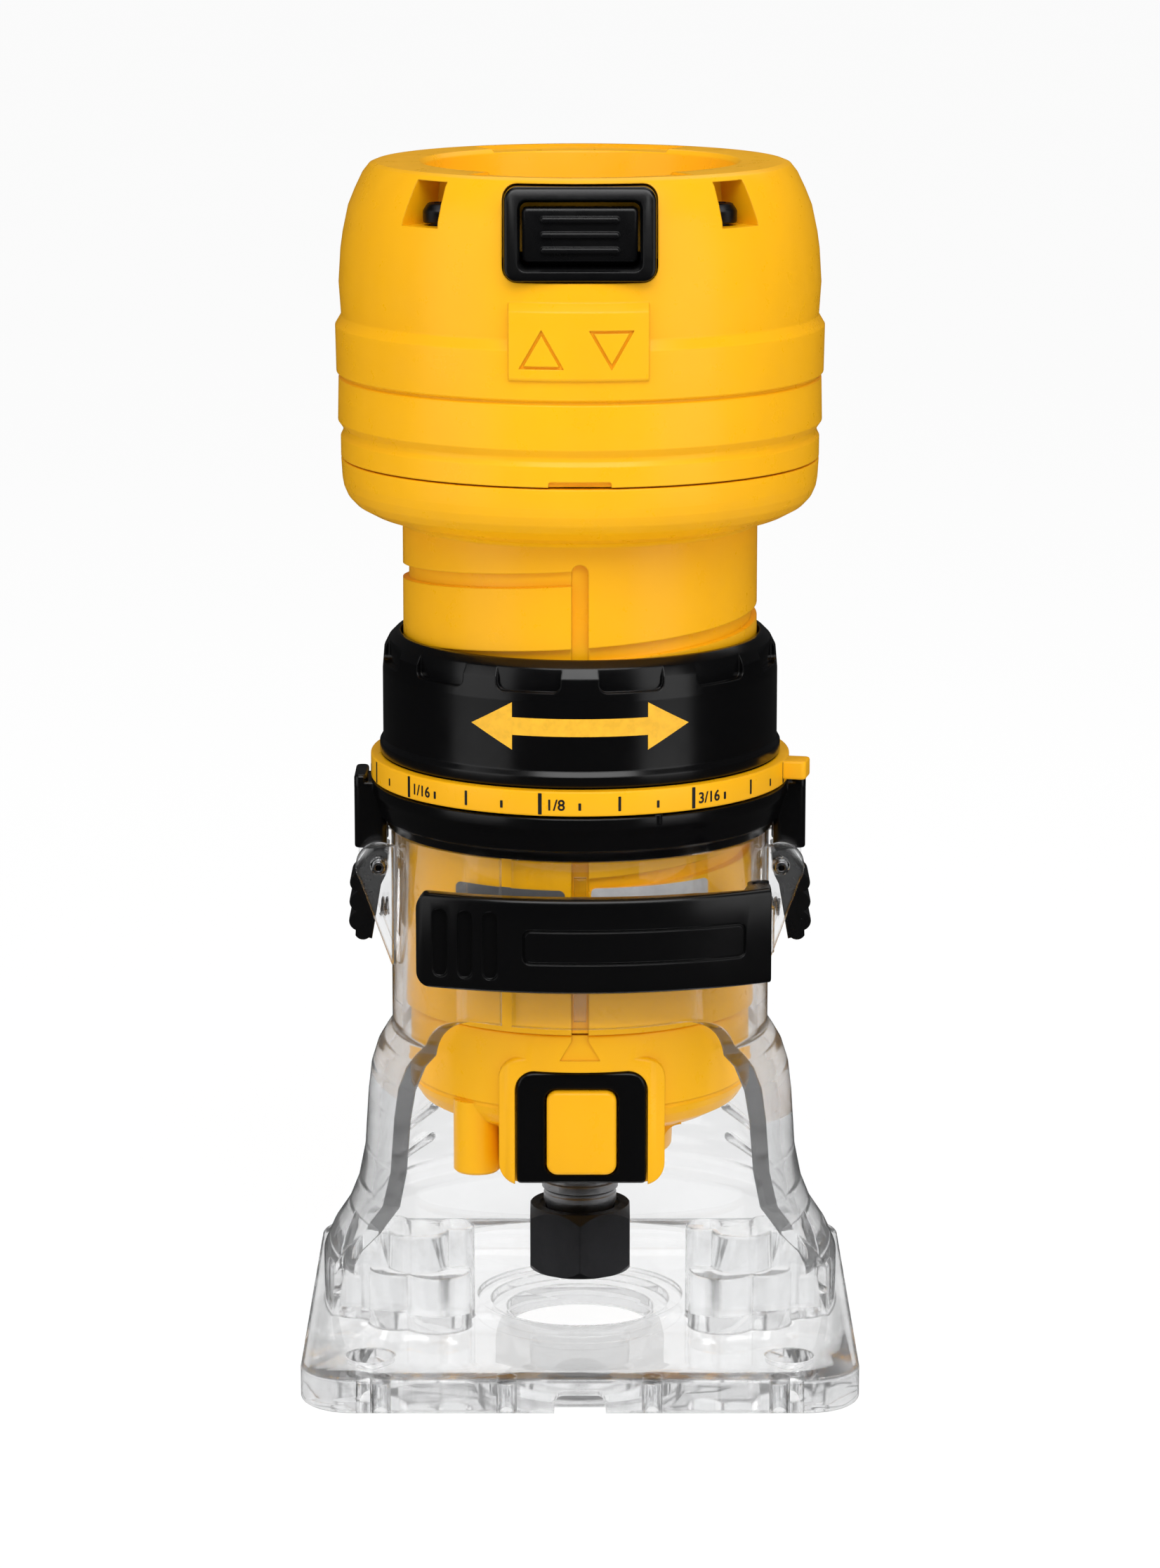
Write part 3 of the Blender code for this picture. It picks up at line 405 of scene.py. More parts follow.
class Nodes:
    """Short calls for building a node material."""

    def __init__(self, name):
        self.material = bpy.data.materials.new(name)
        self.material.use_nodes = True
        self.tree = self.material.node_tree
        self.shader = self.tree.nodes["Principled BSDF"]
        self.place = self.add("ShaderNodeTexCoord").outputs["Object"]

    def add(self, kind, **settings):
        made = self.tree.nodes.new(kind)
        for key, value in settings.items():
            setattr(made, key, value)
        return made

    def link(self, source, target):
        self.tree.links.new(source, target)

    def noise(self, scale, detail=2.0, roughness=0.5, stretch=None):
        made = self.add("ShaderNodeTexNoise")
        made.inputs["Scale"].default_value = scale
        made.inputs["Detail"].default_value = detail
        made.inputs["Roughness"].default_value = roughness
        source = self.place
        if stretch:
            mapping = self.add("ShaderNodeMapping")
            mapping.inputs["Scale"].default_value = stretch
            self.link(self.place, mapping.inputs["Vector"])
            source = mapping.outputs["Vector"]
        self.link(source, made.inputs["Vector"])
        return made.outputs["Fac"]

    def spread(self, source, low, high, start=0.3, end=0.7):
        made = self.add("ShaderNodeMapRange")
        made.inputs["From Min"].default_value = start
        made.inputs["From Max"].default_value = end
        made.inputs["To Min"].default_value = low
        made.inputs["To Max"].default_value = high
        self.link(source, made.inputs["Value"])
        return made.outputs["Result"]

    def ramp(self, source, *stops):
        made = self.add("ShaderNodeValToRGB")
        ramp = made.color_ramp
        while len(ramp.elements) < len(stops):
            ramp.elements.new(0.5)
        for element, (at, colour) in zip(ramp.elements, stops):
            element.position = at
            element.color = (*colour, 1.0)
        self.link(source, made.inputs["Fac"])
        return made.outputs["Color"]

    def bump(self, height, strength, distance, rounding=0.0):
        made = self.add("ShaderNodeBump")
        made.inputs["Strength"].default_value = strength
        made.inputs["Distance"].default_value = distance
        self.link(height, made.inputs["Height"])
        if rounding:
            edge = self.add("ShaderNodeBevel", samples=4)
            edge.inputs["Radius"].default_value = rounding
            self.link(edge.outputs["Normal"], made.inputs["Normal"])
        self.link(made.outputs["Normal"], self.shader.inputs["Normal"])

    def open_to_lamps(self, share):
        """Lets a share of the lamps' light straight through, as thin clear plastic does."""
        paths = self.add("ShaderNodeLightPath")
        mix = self.add("ShaderNodeMixShader")
        window = self.add("ShaderNodeBsdfTransparent")
        window.inputs["Color"].default_value = (share, share, share, 1.0)
        self.link(paths.outputs["Is Shadow Ray"], mix.inputs[0])
        self.link(self.shader.outputs[0], mix.inputs[1])
        self.link(window.outputs[0], mix.inputs[2])
        self.link(mix.outputs[0], self.tree.nodes["Material Output"].inputs["Surface"])

    def value(self, name, value):
        self.shader.inputs[name].default_value = value

    def into(self, source, name):
        self.link(source, self.shader.inputs[name])


def tinted(colour, factor):
    return tuple(min(1.0, c * factor) for c in colour)


def moulded(name, colour, rough, grain, shine):
    """Injection-moulded plastic: fine spark texture, faint flow variation, soft edges."""
    n = Nodes(name)
    flow = n.noise(35.0, 3.0, 0.6, (1.0, 1.0, 0.35))
    n.into(n.ramp(flow, (0.3, tinted(colour, 0.94)), (0.7, tinted(colour, 1.04))), "Base Color")
    n.into(n.spread(n.noise(220.0, 4.0, 0.65), rough * 0.85, rough * 1.2), "Roughness")
    n.bump(n.noise(5200.0, 2.0, 0.6), grain, 0.00002, SOFT_EDGE)
    n.value("IOR", 1.5)
    n.value("Specular IOR Level", shine)
    return n.material


def clear_plastic(name):
    """Clear polycarbonate: faint grey tint, flow waves and fine scuffs."""
    n = Nodes(name)
    n.value("Base Color", (0.93, 0.935, 0.94, 1.0))
    n.value("Transmission Weight", 1.0)
    n.value("IOR", 1.46)
    n.value("Alpha", 0.88)
    scuffs = n.noise(900.0, 5.0, 0.7, (1.0, 1.0, 0.2))
    n.into(n.spread(scuffs, 0.01, 0.05, 0.45, 0.8), "Roughness")
    n.bump(n.noise(60.0, 2.0, 0.5), 0.12, 0.0004, 0.0005)
    n.open_to_lamps(0.93)
    return n.material


def machined(name, colour, rough, stretch=(1.0, 1.0, 12.0), scale=900.0, metallic=1.0):
    """Turned or ground metal with fine lines along its cutting direction."""
    n = Nodes(name)
    lines = n.noise(scale, 4.0, 0.7, stretch)
    n.into(n.ramp(lines, (0.3, tinted(colour, 0.82)), (0.7, tinted(colour, 1.15))), "Base Color")
    n.into(n.spread(lines, rough * 0.75, rough * 1.35), "Roughness")
    n.value("Metallic", metallic)
    n.bump(lines, 0.18, 0.00002, 0.0002)
    return n.material


def wound(name, colour):
    """Enamelled wire: close-laid turns with a lacquer gloss."""
    n = Nodes(name)
    wave = n.add("ShaderNodeTexWave", bands_direction="Z")
    wave.inputs["Scale"].default_value = 260.0
    wave.inputs["Distortion"].default_value = 1.2
    n.link(n.place, wave.inputs["Vector"])
    n.into(n.ramp(wave.outputs["Fac"], (0.0, tinted(colour, 0.45)), (1.0, colour)), "Base Color")
    n.into(n.spread(wave.outputs["Fac"], 0.5, 0.25, 0.0, 1.0), "Roughness")
    n.value("Metallic", 0.9)
    n.bump(wave.outputs["Fac"], 0.5, 0.0002)
    return n.material


def stacked(name, colour):
    """Laminated core plates on edge."""
    n = Nodes(name)
    wave = n.add("ShaderNodeTexWave", bands_direction="Z")
    wave.inputs["Scale"].default_value = 320.0
    n.link(n.place, wave.inputs["Vector"])
    n.into(n.ramp(wave.outputs["Fac"], (0.0, tinted(colour, 0.5)), (0.6, colour)), "Base Color")
    n.into(n.spread(wave.outputs["Fac"], 0.55, 0.3, 0.0, 1.0), "Roughness")
    n.value("Metallic", 1.0)
    n.bump(wave.outputs["Fac"], 0.4, 0.0001)
    return n.material


def printed(name, colour, rough=0.45):
    """Pad-printed ink or a paper label, very slightly uneven."""
    n = Nodes(name)
    patch = n.noise(700.0, 3.0, 0.6)
    n.into(n.ramp(patch, (0.35, tinted(colour, 0.9)), (0.65, tinted(colour, 1.05))), "Base Color")
    n.into(n.spread(patch, rough * 0.9, rough * 1.15), "Roughness")
    n.bump(patch, 0.05, 0.00002)
    return n.material


YELLOW_RGB = (1.0, 0.475, 0.004)
YELLOW = moulded("yellow_moulding", YELLOW_RGB, 0.3, 0.08, 0.3)
BLACK = moulded("black_moulding", (0.0022, 0.0022, 0.0025), 0.2, 0.08, 0.45)
SATIN_BLACK = moulded("black_satin_moulding", (0.003, 0.003, 0.0035), 0.28, 0.35, 0.5)
RUBBER = moulded("black_rubber", (0.004, 0.004, 0.0045), 0.42, 0.4, 0.22)
CLEAR = clear_plastic("clear_polycarbonate")
STEEL = machined("ground_steel", (0.4, 0.4, 0.41), 0.26)
DARK_STEEL = machined("turned_steel", (0.2, 0.2, 0.205), 0.34)
NUT_STEEL = machined("black_oxide_steel", (0.022, 0.022, 0.024), 0.42, (1.0, 1.0, 1.0), 500.0, 0.85)
SCREW_STEEL = machined("blackened_screw", (0.03, 0.03, 0.032), 0.4)
COPPER = wound("enamelled_copper", (0.62, 0.22, 0.08))
CORE = stacked("core_plates", (0.35, 0.35, 0.37))
BRASS = machined("drawn_brass", (0.72, 0.5, 0.2), 0.32)
CARBON = printed("carbon_brush_block", (0.02, 0.02, 0.02), 0.75)
INK = printed("black_ink", (0.012, 0.012, 0.012))
YELLOW_INK = printed("yellow_ink", (0.95, 0.5, 0.02), 0.4)
GREY_LABEL = printed("dark_grey_label", (0.1, 0.1, 0.105))
SILVER_LABEL = printed("silver_label", (0.6, 0.6, 0.6), 0.35)

KEPT = {
    STEEL: (
        "clamp_strap", "clamp_strap_pin", "clamp_hinge_pin", "latch_spring_left", "latch_spring_right",
        "follower_pin", "lock_pin", "lock_spring", "lower_bearing_outer", "lower_bearing_inner",
        "upper_bearing_outer", "upper_bearing_inner", "brush_spring_left", "brush_spring_right", "collet",
    ),
    CORE: ("stator_core", "armature_core"),
    COPPER: (
        "field_coil_lower", "field_coil_upper", "armature_coil_lower", "armature_coil_upper", "commutator",
    ),
    BRASS: ("brush_holder_left", "brush_holder_right"),
    CARBON: ("carbon_brush_left", "carbon_brush_right"),
    SATIN_BLACK: ("switch_body", "fan_baffle", "brush_bracket", "cooling_fan"),
    CLEAR: ("guide_key",),
}


def kept_nodes():
    """CAD nodes whose shape stays get their finished material."""
    for finish, names in KEPT.items():
        for name in names:
            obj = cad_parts[name]
            obj.material_slots[0].material = finish


# ---------------------------------------------------------------- camera, light and floor

def studio():
    scene = bpy.context.scene
    scene.view_settings.view_transform = "Standard"
    lens = bpy.data.cameras.new("camera")
    lens.lens = 116.1
    lens.sensor_width = 36.0
    lens.clip_start, lens.clip_end = 0.05, 20.0
    camera = bpy.data.objects.new("camera", lens)
    pitch, reach, height = radians(11.9), 0.8507, 0.09545
    camera.location = (0.0, -reach * cos(pitch), height + reach * sin(pitch))
    camera.rotation_euler = (pi / 2 - pitch, 0.0, 0.0)
    scene.collection.objects.link(camera)
    scene.camera = camera
    studio_floor()
    studio_world()
    softbox("front_softbox", 4.0, 0.52, 0.72, (0.7, 0.5), 4.0)
    softbox("left_softbox", -58.0, 0.62, 0.16, (0.42, 0.8), 0.9)
    softbox("right_softbox", 50.0, 0.64, 0.15, (0.36, 0.8), 1.0)
    softbox("top_softbox", 160.0, 0.35, 0.75, (0.7, 0.7), 1.2)


def studio_floor():
    """A pale floor, evenly bright to the camera and through the clear base, dark in reflections."""
    side = 6.0
    corners = [(-side, -side, 0), (side, -side, 0), (side, side, 0), (-side, side, 0)]
    mesh = bpy.data.meshes.new("floor")
    mesh.from_pydata(corners, [], [(0, 1, 2, 3)])
    n = Nodes("pale_floor")
    n.into(n.spread(n.noise(3.0), 0.75, 0.85), "Roughness")
    n.value("Specular IOR Level", 0.1)
    n.value("Emission Color", (1.0, 1.0, 1.0, 1.0))
    paths = n.add("ShaderNodeLightPath")
    either = n.add("ShaderNodeMath", operation="MAXIMUM")
    n.link(paths.outputs["Is Camera Ray"], either.inputs[0])
    n.link(paths.outputs["Is Transmission Ray"], either.inputs[1])
    n.into(n.spread(either.outputs[0], 0.0, 0.92, 0.0, 1.0), "Emission Strength")
    kind = n.add("ShaderNodeMath", operation="MULTIPLY_ADD")
    kind.inputs[1].default_value = 0.5
    n.link(either.outputs[0], kind.inputs[0])
    n.link(paths.outputs["Is Glossy Ray"], kind.inputs[2])
    n.into(n.ramp(kind.outputs[0], (0.0, (0.9,) * 3), (0.5, (0.1,) * 3), (1.0, (0.03,) * 3)), "Base Color")
    mesh.materials.append(n.material)
    floor = bpy.data.objects.new("floor", mesh)
    floor.location.z = -0.0002
    bpy.context.scene.collection.objects.link(floor)


def studio_world():
    """White behind the object, moderate fill light, and a darker room in reflections."""
    world = bpy.data.worlds.new("studio")
    world.use_nodes = True
    bpy.context.scene.world = world
    tree = world.node_tree
    tree.nodes.clear()
    output = tree.nodes.new("ShaderNodeOutputWorld")
    paths = tree.nodes.new("ShaderNodeLightPath")

    def background(colour, strength):
        made = tree.nodes.new("ShaderNodeBackground")
        made.inputs["Color"].default_value = (*colour, 1.0)
        made.inputs["Strength"].default_value = strength
        return made.outputs[0]

    def mixed(factor, first, second):
        made = tree.nodes.new("ShaderNodeMixShader")
        tree.links.new(factor, made.inputs[0])
        tree.links.new(first, made.inputs[1])
        tree.links.new(second, made.inputs[2])
        return made.outputs[0]

    fill = background((1.0, 1.0, 1.0), 0.45)
    room = background((0.95, 0.97, 1.0), 0.035)
    white = background((1.0, 1.0, 1.0), 1.0)
    either = tree.nodes.new("ShaderNodeMath")
    either.operation = "MAXIMUM"
    tree.links.new(paths.outputs["Is Camera Ray"], either.inputs[0])
    tree.links.new(paths.outputs["Is Transmission Ray"], either.inputs[1])
    seen = mixed(paths.outputs["Is Glossy Ray"], fill, room)
    tree.links.new(mixed(either.outputs[0], seen, white), output.inputs["Surface"])


def softbox(name, azimuth, reach, height, size, watts):
    """A large soft lamp aimed at the object, which doesn't show to the camera."""
    light = bpy.data.lights.new(name, "AREA")
    light.shape = "RECTANGLE"
    light.size, light.size_y = size
    light.energy = watts
    obj = bpy.data.objects.new(name, light)
    x, y = on_circle(reach, azimuth)
    obj.location = (x, y, height)
    aim = Vector((0, 0, 0.11)) - obj.location
    obj.rotation_euler = aim.to_track_quat("-Z", "Y").to_euler()
    obj.visible_camera = False
    bpy.context.scene.collection.objects.link(obj)


# ---------------------------------------------------------------- head and neck

def shrunk_triangle(corners, by):
    """The triangle whose sides lie this far inside another's."""
    a, b, c = [Vector(p) for p in corners]
    sides = [(b - c).length, (c - a).length, (a - b).length]
    centre = (a * sides[0] + b * sides[1] + c * sides[2]) / sum(sides)
    area = abs((b - a).cross(c - a)) / 2
    scale = 1 - by / (2 * area / sum(sides))
    return [tuple(centre + (p - centre) * scale) for p in (a, b, c)]


def sloped(bm, level, slope):
    """Leans a shape back as it rises from a level."""
    for vert in bm.verts:
        vert.co.y += slope * (vert.co.z - level)
    return bm


def head_shell():
    """The head's upper shell: banded wall, raised plate, switch recess, screw pockets and bowl."""
    profile = filleted([
        (39.6, CAP_FOOT), (39.62, 154.9, 0.3), (39.2, 155.7, 0.2), (39.2, 156.4, 0.2), (40.05, 157.6, 0.3),
        (39.9, 164.7, 0.15), (39.5, 164.95), (39.5, 165.25), (40.25, 165.6, 0.25), (40.4, 173.3, 0.35),
        (39.4, 175.0, 0.4), (39.75, 180.3), (39.4, 185.8), (39.0, 188.6), (38.1, 192.8), (37.0, 195.5),
        (35.7, 198.2), (34.6, 199.6, 0.5), (33.6, CAP_TOP, 0.5), (26.4, CAP_TOP, 0.6), (25.6, 199.3, 0.5),
        (24.7, 194.0, 0.8), (23.4, 192.3, 0.8), (0, 192.0), (0, 189.4), (30.0, 189.2), (34.4, 188.4),
        (36.6, 186.0), (37.4, 181.0), (37.6, 160.0), (37.3, CAP_FOOT),
    ])
    shell = turned(profile)
    plate_skin = turned(filleted([
        (38.4, 168.7), (40.75, 168.7, 0.2), (41.0, 169.1, 0.2), (41.0, 179.6, 0.5), (39.7, 181.0),
        (38.4, 181.0),
    ]))
    plate = common(plate_skin, radial(rounded_rect(-11.3, 10.9, 168.0, 181.5, 0.6), 0.0))
    shell = fuse(shell, plate)
    triangles = []
    for middle, tip, base in ((-6.1, 176.8, 170.6), (5.0, 170.5, 176.7)):
        corners = [(middle - 3.55, base), (middle + 3.55, base), (middle, tip)]
        inner = shrunk_triangle(corners, 0.42)
        outer_prism, inner_prism = prism(corners, -45.0, -38.0, "Y"), prism(inner, -46.0, -37.0, "Y")
        triangles.append(cut(outer_prism, inner_prism))
    groove = common(together(*triangles), skin(40.55, 43.0, 165.0, 185.0))
    recess = rounded_rect(-12.3, 12.3, 184.0, 199.2, 2.4)
    switch_recess = sloped(prism(recess, -46.0, -34.0, "Y"), SWITCH_FOOT, SWITCH_SLOPE)
    mouth = [(-3.9, 191.8), (3.9, 191.8), (3.2, 198.9), (-3.2, 198.9)]
    pockets = [moved(prism(mouth, -46.0, -30.0, "Y"), turn=azimuth) for azimuth in POCKETS]
    shell = cut(shell, groove, switch_recess, *pockets)
    shell = cut(shell, rod(5.3, 30.0, 46.0, "Y", (0.0, GLAND_HEIGHT)))
    notch = prism(rounded_rect(-5.0, 5.0, 150.0, 152.5, 0.4), -42.0, -38.6, "Y")
    panels = [moved(arc_wall(22.0, 32.4, -34.0, 34.0, 199.45, 201.0), turn=turn) for turn in (0.0, 180.0)]
    shell = cut(shell, notch, *panels)
    shell = cut(shell, *[rod(1.9, 186.0, 193.0, at=on_circle(CAP_SCREW_R, azimuth)) for azimuth in POCKETS])
    return piece("head_shell", shell, YELLOW, "motor", ("end_cap",))


def helix_cutter():
    """The depth groove: four turns down the neck, starting in the key slot."""
    deep, tall, per_turn = 1.0, 2.7, 72
    rings = []
    for i in range(4 * per_turn + 1):
        azimuth = -1.0 - 360.0 * i / per_turn
        height = GROOVE_START + LEAD * azimuth / 360.0
        near, far = on_circle(NECK_R - deep, azimuth), on_circle(NECK_R + 1.5, azimuth)
        low, high = height - tall / 2, height + tall / 2
        corners = [(*near, low + 0.25), (*far, low), (*far, high), (*near, high - 0.25)]
        rings.append(corners)
    return loft(rings)


def neck_shell():
    """The sliding neck and the lower half of the head, with the key slot and the depth groove."""
    profile = filleted([
        (NECK_R, NECK_FOOT), (NECK_R, 140.4), (30.1, 141.1, 0.7), (34.6, 142.4, 3.0), (37.2, 143.8, 2.0),
        (38.5, 145.2, 2.0), (39.15, 146.7, 2.0), (39.4, 148.1, 2.0), (39.6, FLANGE_TOP, 0.3),
        (37.4, FLANGE_TOP), (37.2, 147.6), (35.4, 145.4), (28.6, 143.2), (27.2, 142.0), (27.2, NECK_FOOT),
    ])
    slot = [(KEY_HALF, 50.0)] + arc((0.0, 137.6 - KEY_HALF), KEY_HALF, 0, 180, 14) + [(-KEY_HALF, 50.0)]
    neck = cut(turned(profile), prism(slot, -34.0, -28.2, "Y"))
    neck = cut(neck, helix_cutter())
    return piece("neck_shell", neck, YELLOW, "motor", ("motor_housing",))


def label(name, outline, finish, radius, thick, body):
    """A thin printed patch on a round wall, its outline as seen from the front."""
    low = min(z for _, z in outline) - 1
    high = max(z for _, z in outline) + 1
    patch = common(skin(radius - 0.05, radius + thick, low, high), radial(outline, 0.0, 5.0, 50.0))
    return piece(name, patch, finish, body)


def neck_labels():
    """The two plain patches on the neck, with nothing printed on them."""
    grey = rounded_rect(-20.0, -2.4, 73.6, 83.9, 1.0)
    label("rating_patch", grey, GREY_LABEL, NECK_R, 0.08, "motor")
    silver = rounded_rect(1.8, 20.6, 73.6, 84.3, 0.8)
    label("maker_patch", silver, SILVER_LABEL, NECK_R, 0.08, "motor")


def torx_cutter(radius, depth, top):
    """A six-lobed driver recess."""
    points = []
    for i in range(72):
        a = tau * i / 72
        reach = radius * (0.84 + 0.16 * cos(6 * a))
        points.append((reach * cos(a), reach * sin(a)))
    return prism(points, top - depth, top + 1.0)


def screws():
    """The four screws of the head and the two of the nose."""
    for number, azimuth in enumerate(POCKETS, 1):
        profile = filleted([
            (0, 154.0), (1.2, 154.0), (1.5, 155.0), (1.5, 192.2), (2.7, 192.2, 0.3), (2.7, 194.2, 0.9),
            (1.9, 195.4, 0.8), (0, 195.4),
        ])
        screw = cut(turned(profile, SMALL * 2), torx_cutter(1.5, 1.5, 195.4))
        screw = moved(screw, (*on_circle(CAP_SCREW_R, azimuth), 0))
        replaced = (f"cap_screw_{number}",)
        piece(f"cap_screw_head_{number}", screw, SCREW_STEEL, "motor", replaced)
    for number, (x, y) in enumerate(NOSE_SCREWS, 1):
        profile = filleted([
            (0, 34.2), (1.7, 34.2, 0.6), (2.3, 35.0, 0.6), (2.3, 36.3, 0.2), (1.3, 36.3), (1.3, 47.2),
            (1.0, 48.0), (0, 48.0),
        ])
        socket = prism(arc((0, 0), 1.15, 0, 300, 5), 33.0, 35.4)
        screw = moved(cut(turned(profile, SMALL * 2), socket), (x, y, 0))
        replaced = (f"nose_screw_{number}",)
        piece(f"nose_screw_head_{number}", screw, SCREW_STEEL, "motor", replaced)


def gland():
    """The rubber grommet at the back, which a cord would pass through."""
    profile = filleted([
        (3.4, 34.2), (3.4, 43.4, 0.4), (5.4, 43.4, 0.6), (6.4, 42.8, 0.6), (6.4, 41.0, 0.3), (5.0, 40.6),
        (5.0, 34.2),
    ])
    shape = turned(profile, ROUND)
    lie_along_y(shape)
    shape = moved(shape, (0, 0, GLAND_HEIGHT))
    piece("cord_grommet", shape, RUBBER, "motor", ("cord_gland",))


def switch():
    """The switch frame with its stepped opening, and the ribbed rocker set back in it."""
    outline = rounded_rect(-12.0, 12.0, SWITCH_FOOT, 198.9, 2.1, 8)
    frame_shape = pillow(outline, -34.4, -40.2, 0.6, "Y", both=False, steps=4)
    mouth = rounded_rect(-9.5, 9.5, 186.3, 196.5, 1.2, 6)
    wide = rounded_rect(-10.3, 10.3, 185.5, 197.3, 1.6, 6)
    frame_shape = cut(sloped(frame_shape, SWITCH_FOOT, SWITCH_SLOPE), prism(mouth, -46.0, -26.0, "Y"))
    chamfer = loft([[(u, -41.0, v) for u, v in wide], [(u, -39.2, v) for u, v in mouth]])
    frame_shape = cut(frame_shape, sloped(chamfer, SWITCH_FOOT, SWITCH_SLOPE))
    piece("switch_frame", frame_shape, BLACK, "motor", ("switch_bezel",))
    face = rounded_rect(-9.1, 9.1, SWITCH_MIDDLE - 4.3, SWITCH_MIDDLE + 4.3, 0.8, 4)
    rocker = pillow(face, -34.3, -37.1, 0.5, "Y", both=False)
    ribs = []
    for z in (-2.4, 0.0, 2.4):
        low, high = SWITCH_MIDDLE + z - 0.45, SWITCH_MIDDLE + z + 0.45
        ribs.append(pillow(rounded_rect(-6.2, 6.2, low, high, 0.4, 3), -36.5, -37.85, 0.25, "Y", both=False))
    rocker = fuse(rocker, *ribs)
    piece("switch_key", rocker, SATIN_BLACK, "rocker", ("switch_rocker",))


# ---------------------------------------------------------------- rings and collar

def grip_recesses():
    """Cutters for the twelve finger recesses round the depth ring's top edge."""
    foot = RING_TOP - 5.0
    outlines = [radial(rounded_rect(-5.4, 5.4, foot, 130.0, 1.3), 15.0 + 30.0 * i, 21.0) for i in range(12)]
    return common(together(*outlines), skin(31.9, 37.0, foot - 2.0, 128.0))


def ring_shell():
    """The black depth ring with its finger recesses, pin hole and printed double arrow."""
    profile = filleted([
        (32.9, RING_FOOT), (32.9, 101.7, 0.1), (33.55, 101.85, 0.2), (33.55, 103.5, 0.3),
        (RING_R, 104.4, 0.3), (RING_R, 115.8, 0.8),
        (32.7, 119.4, 1.0), (31.9, 121.0, 0.8), (30.7, RING_TOP, 0.4), (30.0, RING_TOP), (30.0, 106.6),
        (31.6, 106.6), (31.6, RING_FOOT),
    ])
    ring = cut(turned(profile), grip_recesses())
    hole = moved(rod(1.3, 29.0, 36.0, "X", (0.0, PIN_HEIGHT)), turn=PIN_AZIMUTH - 90.0)
    piece("ring_shell", cut(ring, hole), BLACK, "depth_ring", ("depth_ring",))
    half, neck, head, stem, middle = 17.6, 17.6 - 6.6, 3.9, 1.45, 111.6
    outline = [
        (-half, 0.0), (-neck, head), (-neck, stem), (neck, stem), (neck, head), (half, 0.0),
        (neck, -head), (neck, -stem), (-neck, -stem), (-neck, -head),
    ]
    arrow = [(x, middle + z) for x, z in outline]
    label("turn_arrow", arrow, YELLOW_INK, RING_R, 0.1, "depth_ring")


def scale_band():
    """The yellow scale ring with its finger tab, engraved ticks and fractions."""
    profile = filleted([
        (SCALE_R, SCALE_FOOT, 0.35), (SCALE_R, SCALE_TOP, 0.35), (33.2, SCALE_TOP), (33.2, SCALE_FOOT),
    ])
    tab = pillow(rounded_rect(34.2, 38.8, -2.6, 2.6, 0.9), 98.3, SCALE_TOP - 0.1, 0.4)
    band = fuse(turned(profile), moved(tab, turn=78.0 - 90.0))
    piece("scale_band", band, YELLOW, "scale_ring", ("scale_ring",))
    middle = (SCALE_FOOT + SCALE_TOP) / 2
    marks = []
    for i in range(34):
        tall = (3.5, 1.2, 2.4, 1.2)[i % 4]
        wide = 0.22 if i % 4 else 0.3
        low = middle - tall / 2 if i % 2 == 0 else middle - 1.0
        azimuth = FIRST_TICK + TICK_STEP * i
        marks.append(radial(rounded_rect(-wide, wide, low, low + tall, 0.08, 2), azimuth, 30.0, 50.0))
    ticks = common(skin(SCALE_R - 0.05, SCALE_R + 0.06, 96.0, 104.0), together(*marks))
    piece("scale_ticks", ticks, INK, "scale_ring")
    figures = []
    for i, text in enumerate(FRACTIONS):
        azimuth = FIRST_TICK + 4 * TICK_STEP * i
        figures.append(wrapped_text(text, azimuth + 1.5, middle - 1.0, 2.5))
    piece("scale_figures", together(*figures), INK, "scale_ring")


def wrapped_text(text, azimuth, height, size):
    """Flat lettering wrapped on the scale ring, starting at an azimuth."""
    curve = bpy.data.curves.new("figure", "FONT")
    curve.body = text
    curve.size = size
    curve.extrude = 0.03
    curve.offset = 0.04
    curve.resolution_u = 4
    obj = bpy.data.objects.new("figure", curve)
    bpy.context.scene.collection.objects.link(obj)
    bm = evaluated_curve(obj)
    for vert in bm.verts:
        x, y, z = vert.co
        px, py = on_circle(SCALE_R + 0.02 + z, azimuth + degrees(x / SCALE_R))
        vert.co = (px, py, height + y)
    return bm


def collar_shell():
    """The quick-release collar: a flared skirt and an arm with a latch slot on each side."""
    profile = filleted([
        (32.4, COLLAR_FOOT, 0.3), (33.1, 90.9, 0.3), (33.8, 91.3, 0.3), (34.5, 94.0, 0.8), (35.0, 95.2, 0.6),
        (35.0, 97.0, 0.3), (31.2, 97.0), (31.2, 106.2),
        (30.4, 106.2), (30.4, COLLAR_FOOT),
    ])
    collar = turned(profile)
    for side in (-1, 1):
        low, high = sorted((side * 32.4, side * 37.8))
        arm = pillow(rounded_rect(low, high, -5.0, 5.0, 1.1), 85.5, 96.8, 0.4)
        collar = fuse(collar, arm)
        low, high = sorted((side * 35.6, side * 37.8))
        crown = pillow(rounded_rect(low, high, -5.0, 5.0, 0.9), 95.9, 98.0, 0.5, both=False)
        collar = fuse(collar, crown)
    slots = [box(min(s * 31.9, s * 36.5), max(s * 31.9, s * 36.5), -3.0, 3.0, 84.0, 89.0) for s in (-1, 1)]
    collar = cut(collar, *slots)
    collar = fuse(collar, rod(0.75, 95.6, 97.25, at=on_circle(34.4, 21.6)))
    piece("collar_shell", collar, BLACK, "collar", ("quick_release_collar",))


# ---------------------------------------------------------------- clamp and latches

